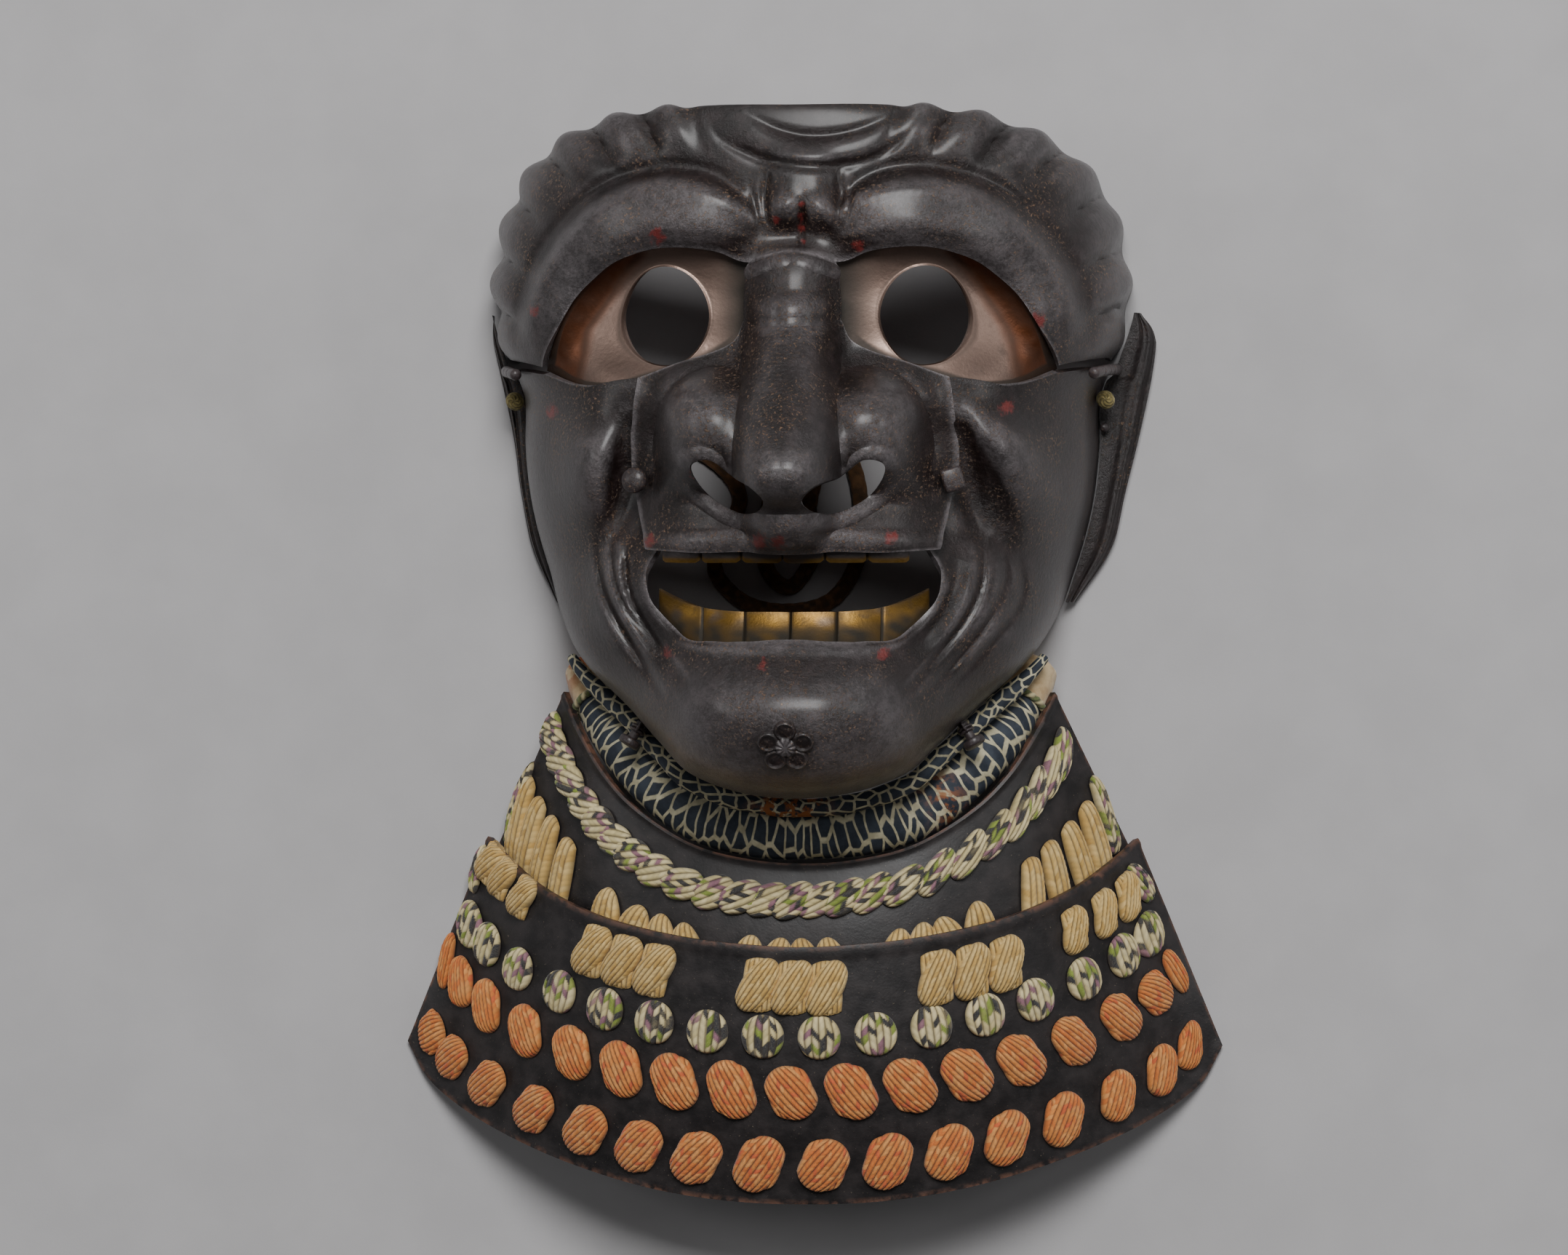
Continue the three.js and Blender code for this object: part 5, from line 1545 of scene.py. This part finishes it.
def aimed(axis: Array) -> tuple[float, float, float]:
    """Euler turn that lays +Z along an axis."""
    return tuple(mathutils.Vector(tuple(axis)).to_track_quat("Z", "Y").to_euler())


def laid(centre: Array, axis: Array) -> dict[str, tuple[float, float, float]]:
    """Place and turn of a part, as Blender's primitives take them."""
    return {"location": tuple(placed(centre)), "rotation": aimed(axis)}


@dataclass
class Fitting:
    """A small iron piece put together from turned and squared parts."""

    name: str
    parts: list = field(default_factory=list)

    def keep(self, bevel: float) -> None:
        """Rounds the edges of the part just added and keeps it."""
        part = bpy.context.object
        if bevel:
            modifier = part.modifiers.new("round", "BEVEL")
            modifier.width, modifier.segments = bevel * MM, 3
            bpy.ops.object.modifier_apply(modifier=modifier.name)
        self.parts.append(part)

    def turned(self, centre: Array, axis: Array, radius: float, depth: float,
               bevel: float = 0.3) -> None:
        """A round part about an axis."""
        bpy.ops.mesh.primitive_cone_add(vertices=40, radius1=radius * MM, radius2=radius * MM,
                                        depth=depth * MM, **laid(centre, axis))
        self.keep(bevel)

    def ball(self, centre: Array, axis: Array, radius: float,
             flat: float = 1.0) -> None:
        """A ball, flattened along an axis."""
        bpy.ops.mesh.primitive_uv_sphere_add(segments=28, ring_count=16, radius=radius * MM,
                                             **laid(centre, axis))
        bpy.context.object.scale = (1.0, 1.0, flat)
        self.keep(0.0)

    def block(self, centre: Array, axis: Array, size: tuple[float, float, float],
              bevel: float = 0.4) -> None:
        """A squared part."""
        bpy.ops.mesh.primitive_cube_add(size=MM, **laid(centre, axis))
        bpy.context.object.scale = size
        bpy.ops.object.transform_apply(location=False, rotation=False, scale=True)
        self.keep(bevel)

    def hoop(self, centre: Array, axis: Array, radius: float, wire: float) -> None:
        """A ring of wire."""
        bpy.ops.mesh.primitive_torus_add(major_segments=40, minor_segments=12,
                                         major_radius=radius * MM, minor_radius=wire * MM,
                                         **laid(centre, axis))
        self.keep(0.0)

    def done(self, *replaced: str) -> bpy.types.Object:
        """Joins the parts into the finished piece."""
        select_only(*self.parts)
        bpy.ops.object.join()
        obj = bpy.context.object
        bpy.ops.object.transform_apply(location=True, rotation=True, scale=True)
        bpy.ops.object.shade_smooth_by_angle(angle=35 * DEG)
        obj.name = self.name
        obj.data.materials.clear()
        obj.data.materials.append(Finish.WORN.material)
        stand_in(obj, "worn_iron", *replaced)
        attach(obj, "root")
        return obj


def on_face(x: float, y: float, lift: float = 0.0) -> tuple[Array, Array]:
    """Place on the face and its outward normal there."""
    angle, share = polar(np.array([float(x)]), np.array([float(y)]))
    normal = face_normal(angle, share, False)[0]
    return face_point(angle, share, False)[0] + normal * lift, normal


@dataclass
class Fittings:
    """Hooks, hinges, pegs, rivets and the flower."""

    hook: tuple[float, float] = (40.3, 44.6)
    hinge_angle: float = 19.7
    hinge_span: tuple[float, float] = (0.74, 0.94)
    hinge_lift: float = 2.2
    knuckles: int = 5
    peg_angle: float = -57.5
    peg_drop: float = 4.5
    knot: tuple[float, float, float] = (14.6, 0.9, 2.3)

    def hooks(self) -> None:
        """The square hook at one wing of the nose and the oval one at the other."""
        x, y = self.hook
        base = NOSE_LIFT + IRON
        foot, n = on_face(x, y, base + 1.6)
        square = Fitting("nose_hook_right_modelled")
        square.block(foot + n * 0.2, n, (3.4, 3.4, 1.6), 0.3)
        square.block(foot + n * 2.2, n, (6.2, 5.6, 3.0), 0.8)
        square.done("nose_hook_right")
        foot, n = on_face(-x, y, base + 1.6)
        oval = Fitting("nose_hook_left_modelled")
        oval.turned(foot + n * 0.4, n, 1.6, 2.0)
        oval.ball(foot + n * 2.0, n, 3.4, 0.5)
        oval.done("nose_hook_left")

    def hinges(self) -> None:
        """Knuckled hinge barrels along the seam at each temple."""
        for side, label in SIDES:
            t = np.linspace(*self.hinge_span, self.knuckles * 2 + 1)
            line = skin(np.full_like(t, self.hinge_angle * DEG), t, self.hinge_lift, fine=False)
            line[:, 0] *= side
            fitting = Fitting(f"temple_hinge_{label}_modelled")
            for k in range(self.knuckles):
                a, b = line[2 * k], line[2 * k + 2]
                fitting.turned((a + b) / 2, b - a, 1.5, float(np.linalg.norm(b - a)) - 0.1, 0.25)
            fitting.ball(line[0], line[0] - line[1], 1.6, 0.8)
            fitting.ball(line[-1], line[-1] - line[-2], 1.6, 0.8)
            fitting.done(f"temple_hinge_{label}")

    def pegs(self) -> None:
        """Headed pegs under the jaw with a turn of wire round each."""
        angle = self.peg_angle * DEG
        root = face_point(np.array([angle]), np.array([1.0]), False)[0]
        for side, label in SIDES:
            flip = np.array([side, 1, 1])
            out = unit(np.array([math.cos(angle), math.sin(angle), 0.15])) * flip
            start = (root + np.array([0, 0, self.peg_drop])) * flip + out * FIT
            fitting = Fitting(f"chin_peg_{label}_modelled")
            fitting.turned(start + out * 2.5, out, 1.3, 5.0, 0.2)
            fitting.turned(start + out * 6.1, out, 3.0, 2.2, 0.7)
            fitting.hoop(start + out * 1.6, out, 1.7, 0.45)
            fitting.hoop(start + out * 2.6, out, 1.7, 0.45)
            fitting.hoop(start + out * 0.9 + np.array([0, 0, 1.0]), np.cross(out, [0, 0, 1]),
                         1.8, 0.4)
            fitting.done(f"chin_peg_{label}")

    def knots(self) -> None:
        """Fibre cord knotted at each temple."""
        angle, share, radius = self.knot
        centre = skin(np.array([angle * DEG]), np.array([share]), radius + FIT, fine=False)[0]
        for side, label in SIDES:
            nu, nv = 72, 39
            u, v = np.meshgrid(np.arange(nu) / nu, np.linspace(0.015, 0.985, nv + 1),
                               indexing="ij")
            theta, phi = u * 2 * math.pi, v * math.pi
            twist = np.cos(3 * theta + 9 * np.cos(phi))
            r = radius * (0.96 + 0.13 * np.abs(twist) ** 0.7 + 0.05 * np.cos(2 * theta + phi))
            ball = np.stack([r * np.sin(phi) * np.cos(theta), r * np.sin(phi) * np.sin(theta),
                             r * np.cos(phi)], axis=-1)
            points = centre * np.array([side, 1, 1]) + ball
            index = np.arange(u.size).reshape(u.shape)
            faces = grid_faces(nu, nv, True).tolist()
            faces += [index[::-1, 0].tolist(), index[:, -1].tolist()]
            strand = np.floor(u * 20 + v * 7)
            tint = Palette(("6f6334", "857843", "a3935c"), (3, 3, 2)).pick(
                hashed(strand, np.floor(v * 9), 4))
            # painted shade in the grooves of the twist
            obj = build_object(f"cord_knot_{label}_modelled", points.reshape(-1, 3), faces,
                               (Finish.FIBRE.material,),
                               extra={"tint": tint.reshape(-1, 3),
                                      "crevice_shade": (1 - np.abs(twist)).reshape(-1) * 0.8},
                               smooth_angle=60)
            stand_in(obj, "fibre_cord", f"cord_knot_{label}")

    def flower(self) -> None:
        """Plum flower of five rimmed petals round a fluted boss."""
        petal, ring, boss = 2.9, 4.7, 2.6
        centre, n = on_face(0, -23.4, FIT)
        east = unit(np.cross([0.0, 1.0, 0.0], n))
        north = np.cross(n, east)
        nu, nv = 150, 26
        u, v = np.meshgrid(np.arange(nu) / nu, np.arange(nv + 1) / nv, indexing="ij")
        theta = u * 2 * math.pi
        turns = (90 + 72 * np.arange(5)) * DEG
        px, py = ring * np.cos(turns), ring * np.sin(turns)
        reach = np.full_like(u, 2.2)
        for k in range(5):
            along = px[k] * np.cos(theta) + py[k] * np.sin(theta)
            off = ring * ring - along * along
            reach = np.maximum(reach, np.where((off < petal * petal) & (along > 0),
                                               along + np.sqrt(np.maximum(petal ** 2 - off, 0)),
                                               0))
        r = reach * v
        x, y = r * np.cos(theta), r * np.sin(theta)
        near = np.min(np.stack([np.hypot(x - a, y - b) for a, b in zip(px, py)]), axis=0)
        height = (0.45 + 0.5 * np.exp(-((near - petal + 0.55) / 0.4) ** 2)
                  + 0.25 * np.exp(-(near / 1.3) ** 2))
        flutes = 0.16 * np.cos(10 * theta) * smooth(r, 0.6, 1.6)
        height = np.where(r < boss, 0.9 + 0.6 * np.sqrt(np.clip(1 - (r / boss) ** 2, 0, 1))
                          + flutes, height)
        height = height * smooth(-v, -1.0, -0.955)
        points = centre + x[..., None] * east + y[..., None] * north + height[..., None] * n
        # the points of the hub are one
        merged = np.arange(u.size)
        merged[::nv + 1] = 0
        used, index = np.unique(merged, return_inverse=True)
        faces = [list(dict.fromkeys(index[f].tolist())) for f in grid_faces(nu, nv, True)]
        faces.append(index[nv::nv + 1][::-1].tolist())
        wear = (smooth(height, 0.8, 1.3) * 0.5).reshape(-1)[used]
        obj = build_object("chin_flower_modelled", points.reshape(-1, 3)[used], faces,
                           (Finish.IRON.material,),
                           extra={"wear": wear, "rub": np.zeros(len(used))}, smooth_angle=50)
        stand_in(obj, "worn_iron", "chin_flower")

    def rivets(self) -> None:
        """Rivets of the ears and of the plates beside them."""
        fitting = Fitting("ear_rivets")
        for x, y, z in ((79.2, 60.5, 9.0), (72.6, 31.0, 9.0), (-75.6, 62.5, 11.0)):
            fitting.ball(np.array([x, y, z]), np.array([0.3 * np.sign(x), 0, 1.0]), 1.25, 0.7)
        fitting.done()

    def build(self) -> None:
        """Makes every fitting."""
        self.hooks()
        self.hinges()
        self.pegs()
        self.knots()
        self.flower()
        self.rivets()


@dataclass
class TyingCord:
    """Flat brown braid lying loose inside the mask."""

    width: float = 4.4
    thick: float = 1.6
    steps: int = 500
    sides: int = 24

    def build(self) -> None:
        """Sweeps the braid along its route."""
        t = np.linspace(0, 1, self.steps + 1)
        line = spline(np.array(CORD_PATH), t)
        tangent = unit(np.gradient(line, axis=0))
        side = unit(np.cross(tangent, [0.0, 0.0, 1.0]))
        up = np.cross(side, tangent)
        along = np.concatenate([[0], np.cumsum(np.linalg.norm(np.diff(line, axis=0), axis=1))])
        turn = np.arange(self.sides) / self.sides * 2 * math.pi
        grid_s, grid_t = np.meshgrid(along, turn, indexing="ij")
        cos, sin = np.cos(grid_t), np.sin(grid_t)
        strand = np.abs(np.sin(grid_s / 1.1 + 2.5 * np.abs(cos))) ** 0.6
        a = np.sign(cos) * np.abs(cos) ** 0.7 * self.width / 2 * (0.94 + 0.06 * strand)
        b = np.sign(sin) * np.abs(sin) ** 0.8 * self.thick / 2 * (0.86 + 0.14 * strand)
        points = line[:, None] + side[:, None] * a[..., None] + up[:, None] * b[..., None]
        tint = Palette(("5e3f22", "745030", "4b3420"), (3, 3, 2)).pick(
            hashed(np.floor(grid_s / 1.7), np.floor(grid_t * 1.9), 6))
        # painted shade in the hollows between the strands
        obj = build_object("tying_cord_braided", points.reshape(-1, 3),
                           tube_faces(self.steps + 1, self.sides), (Finish.BROWN.material,),
                           extra={"tint": tint.reshape(-1, 3),
                                  "crevice_shade": ((1 - strand) * 0.8).reshape(-1)},
                           smooth_angle=60)
        stand_in(obj, "brown_cord", "tying_cord")
        route = [tuple(p) for p in placed(line[::4])]
        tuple(route[0])


# padded collar
@dataclass
class Collar:
    """Padded leather roll between the jaw and the upper lame."""

    radius: float = 8.0
    cap: float = 0.115
    edge_radius: float = 2.5
    around: int = 44
    along: int = 300
    frames: int = 14

    def tube(self, name: str, line: Array, radii: Array, finish: Finish,
             reach: float, rub: Array) -> bpy.types.Object:
        """A closed tube along a line, with pattern coordinates.

        Args:
            name: the piece's name.
            line: points of the middle line.
            radii: radius at each of them, or at each and each point round it.
            finish: the leather.
            reach: length of the pattern that it takes.
            rub: the stain of each point.

        Returns:
            The new object.
        """
        tangent = unit(np.gradient(line, axis=0))
        up = unit(np.array([0.0, 0.0, 1.0]) - tangent * tangent[:, 2:3])
        side = np.cross(tangent, up)
        n, m = len(line), self.around
        turn = (np.arange(m) / m * 2 * math.pi)[None, :, None]
        ring = side[:, None] * np.cos(turn) + up[:, None] * np.sin(turn)
        points = line[:, None] + ring * radii.reshape(n, -1, 1)
        # the seam of the pattern is hidden underneath
        shifted = np.mod(np.arange(m) / m + 0.25, 1.0)
        uv = np.stack([np.repeat(np.linspace(0.0, reach, n), m), np.tile(shifted, n)], axis=-1)
        obj = build_object(name, points.reshape(-1, 3), tube_faces(n, m), (finish.material,),
                           uv=uv, extra={"rub": rub}, smooth_angle=60)
        return obj

    def round(self, t: Array) -> Array:
        """Radius of the roll, drawn in at its ends."""
        end = np.minimum(t, 1 - t)
        return self.radius * np.sqrt(np.clip(1 - (1 - np.clip(end / 0.035, 0, 1)) ** 2, 0.12, 1))

    def stain(self, points: Array, spots: Sequence[tuple[float, float, float]]
              ) -> Array:
        """Orange stains round given places seen from the front."""
        out = np.zeros(len(points))
        for x, y, r in spots:
            out = np.maximum(out, np.exp(-((points[:, 0] - x) ** 2 + (points[:, 1] - y) ** 2)
                                         / r ** 2))
        return out

    def swell(self, obj: bpy.types.Object, cap: float, pinned: Array) -> None:
        """Blows a pad up a little as cloth, so that it fills like stuffed leather.

        Args:
            obj: the pad.
            cap: how far a point may move, in metres.
            pinned: whether each point is sewn down.
        """
        group = obj.vertex_groups.new(name="sewn")
        group.add(np.nonzero(pinned)[0].tolist(), 1.0, "REPLACE")
        cloth = obj.modifiers.new("cloth", "CLOTH")
        settings = cloth.settings
        settings.quality = 6
        settings.mass = 0.05
        settings.tension_stiffness = settings.compression_stiffness = 12
        settings.bending_stiffness = 0.3
        settings.use_pressure = True
        settings.uniform_pressure_force = 4.0
        settings.effector_weights.gravity = 0
        settings.vertex_group_mass = "sewn"
        scene = bpy.context.scene
        before = np.empty(len(obj.data.vertices) * 3)
        obj.data.vertices.foreach_get("co", before)
        for number in range(1, self.frames + 1):
            scene.frame_set(number)
        shaped = obj.evaluated_get(bpy.context.evaluated_depsgraph_get()).data
        after = np.empty_like(before)
        shaped.vertices.foreach_get("co", after)
        obj.modifiers.remove(cloth)
        obj.vertex_groups.remove(group)
        move = (after - before).reshape(-1, 3)
        far = np.linalg.norm(move, axis=1, keepdims=True)
        move *= np.minimum(1, cap / np.maximum(far, 1e-9))
        obj.data.vertices.foreach_set("co", (before.reshape(-1, 3) + move).ravel())
        obj.data.update()
        scene.frame_set(1)

    def build(self) -> None:
        """Makes the roll, its caps, its piping and the thin roll at the jaw."""
        path = mirrored(ROLL_PATH)
        t = np.linspace(self.cap, 1 - self.cap, self.along + 1)
        line = spline(path, t)
        turn = np.arange(self.around) / self.around * 2 * math.pi
        grid_t, grid_a = np.meshgrid(t, turn, indexing="ij")
        crease = (np.sin(grid_t * 95 + 1.5 * np.sin(grid_a * 2)) ** 2
                  * np.clip(-np.cos(grid_a), 0, 1) * 0.35
                  + 0.25 * np.sin(grid_t * 31 + grid_a) + 0.15 * np.sin(grid_t * 57 - 2 * grid_a))
        radii = self.round(t)[:, None] - 0.45 + crease * 0.5
        points = np.repeat(line, self.around, axis=0)
        roll = self.tube("collar_roll_padded", line, radii, Finish.LEATHER,
                         1.0,
                         self.stain(points, ((36, -40, 4.0), (2, -45, 1.2))))
        under = (np.sin(grid_a) < -0.8).reshape(-1)
        ends = (np.minimum(grid_t - t[0], t[-1] - grid_t) < 0.004).reshape(-1)
        self.swell(roll, 0.0006, under | ends)
        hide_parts("collar_roll")
        for side, label, low, high in ((-1, "left", 0.0, self.cap - 0.003),
                                       (1, "right", 1 - self.cap + 0.003, 1.0)):
            t = np.linspace(low, high, 41)
            cap_line = spline(path, t)
            drawn = smooth(np.minimum(t, 1 - t), 0.06, 0.0)[:, None]
            radii = self.round(t)[:, None] * 1.01 + 0.14 * np.sin(turn * 9)[None, :] * drawn
            where = np.repeat(cap_line, self.around, axis=0)
            cap = self.tube(f"collar_cap_{label}_sewn", cap_line, radii, Finish.SUEDE,
                            0.1, self.stain(where, ((-59.5, -4.5, 5.0),)))
            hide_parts(f"collar_cap_{label}")
            seam = self.cap if side < 0 else 1 - self.cap
            self.piping(label, *spline(path, np.array([seam, seam + 0.004 * side])))
        self.thin_roll()

    def piping(self, label: str, at: Array, beyond: Array) -> None:
        """Two-colour twisted cord where a cap meets the patterned leather."""
        axis = unit(beyond - at)
        up = unit(np.array([0.0, 0.0, 1.0]) - axis * axis[2])
        side = np.cross(axis, up)
        nu, nv = 240, 16
        u, v = np.meshgrid(np.arange(nu) / nu * 2 * math.pi, np.arange(nv) / nv * 2 * math.pi,
                           indexing="ij")
        ring = side * np.cos(u)[..., None] + up * np.sin(u)[..., None]
        twist = np.abs(np.sin(15 * u + v))
        wire = 0.95 * (0.86 + 0.2 * twist)
        points = (at + ring * (self.radius + 0.1 + wire * np.cos(v))[..., None]
                  + axis * (wire * np.sin(v))[..., None])
        strand = np.floor((15 * u + v) / math.pi)
        tint = np.where((np.mod(strand, 2) > 0)[..., None], rgb("c9bd8f"), rgb("5d6b36"))
        # painted shade in the grooves of the twist
        obj = build_object(f"collar_piping_{label}", points.reshape(-1, 3),
                           tube_faces(nu, nv, closed=True), (Finish.SILK.material,),
                           extra={"tint": tint.reshape(-1, 3),
                                  "crevice_shade": ((1 - twist) * 0.9).reshape(-1)}, smooth_angle=60)

    def thin_roll(self) -> None:
        """The thin patterned roll against the jaw."""
        t = np.linspace(0, 1, 241)
        angle = (-142 + 104 * t) * DEG
        rim = face_point(angle, np.ones_like(angle), False)
        reach = self.edge_radius + FIT
        line = rim + np.stack([reach * np.cos(angle), reach * np.sin(angle),
                               np.full_like(angle, -1.2)], axis=-1)
        radii = self.edge_radius * (0.55 + 0.45 * np.minimum(1, 12 * np.minimum(t, 1 - t)))
        radii = radii * (1 + 0.04 * np.sin(t * 70))
        where = np.repeat(line, self.around, axis=0)
        roll = self.tube("collar_edge_roll_padded", line, radii, Finish.LEATHER,
                         0.8,
                         1.6 * self.stain(where, ((-6, -41, 5.0), (1, -41, 5.0))))
        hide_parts("collar_edge_roll")


# stage
def place_camera() -> None:
    """The camera of the photograph: nearly overhead."""
    data = bpy.data.cameras.new("camera")
    data.type, data.lens, data.sensor_width = "PERSP", LENS, SENSOR
    data.clip_start, data.clip_end = 0.05, 20.0
    camera = bpy.data.objects.new("camera", data)
    x, y, z = VIEW_TARGET
    camera.location = (x * MM + VIEW_DISTANCE * math.sin(VIEW_LEAN), (y + SHIFT_Y) * MM,
                       z * MM + VIEW_DISTANCE * math.cos(VIEW_LEAN))
    camera.rotation_euler = (0.0, VIEW_LEAN, 0.0)
    bpy.context.scene.collection.objects.link(camera)
    bpy.context.scene.camera = camera


@dataclass
class Studio:
    """Floor, backdrop and soft light."""

    floor_size: float = 6.0
    # name, place, size, power
    lamps: tuple = (("key_softbox", (0.2, 0.95, 1.75), 0.75, 35.0),
                    ("left_softbox", (-1.5, 0.35, 1.05), 0.6, 4.0),
                    ("right_softbox", (1.5, 0.35, 1.05), 0.6, 4.0))
    sky_colour: tuple = (0.97, 0.98, 1.0, 1.0)
    sky_strength: float = 0.07

    def light(self, name: str, place: tuple[float, float, float], size: float,
              power: float) -> None:
        """One square softbox aimed at the guard."""
        data = bpy.data.lights.new(name, "AREA")
        data.shape, data.size, data.energy = "SQUARE", size, power
        lamp = bpy.data.objects.new(name, data)
        lamp.location = place
        lamp.rotation_euler = mathutils.Vector(place).to_track_quat("Z", "Y").to_euler()
        bpy.context.scene.collection.objects.link(lamp)

    def build(self) -> None:
        """Makes the stage and its lights."""
        bpy.ops.mesh.primitive_plane_add(size=self.floor_size, location=(0, 0, 0))
        floor = bpy.context.object
        floor.name = "floor"
        floor.data.materials.append(Finish.PAPER.material)
        for lamp in self.lamps:
            self.light(*lamp)
        world = bpy.data.worlds.new("studio")
        bpy.context.scene.world = world
        world.use_nodes = True
        sky = world.node_tree.nodes["Background"]
        sky.inputs["Color"].default_value = self.sky_colour
        sky.inputs["Strength"].default_value = self.sky_strength


def main() -> None:
    """Builds the guard piece by piece."""
    logging.basicConfig(level=logging.INFO)
    place_camera()
    steps = (
        ("cord", TyingCord()), ("iron mask", IronMask()), ("eye plates", EyePlates()),
        ("upper teeth", Teeth("upper_teeth", 32.0, NOSE_LIFT - 0.6, 0.8, (30.0, 0.0),
                              (23.6, 0.0), shift=-1.6, gilt_from=0.86)),
        ("lower teeth", Teeth("lower_teeth", 36.5, -IRON - 0.7, 0.0, (11.0, 5.4), (0.4, 5.0))),
        ("upper lame", Lame("upper_lame", UPPER_LAME)),
        ("lower lame", Lame("lower_lame", LOWER_LAME)), ("lacing", Lacing()),
        ("collar", Collar()), ("ears", Ears()), ("fittings", Fittings()), ("stage", Studio()))
    for label, step in steps:
        step.build()
        LOG.info("%s built", label)


if __name__ == "__main__":
    main()
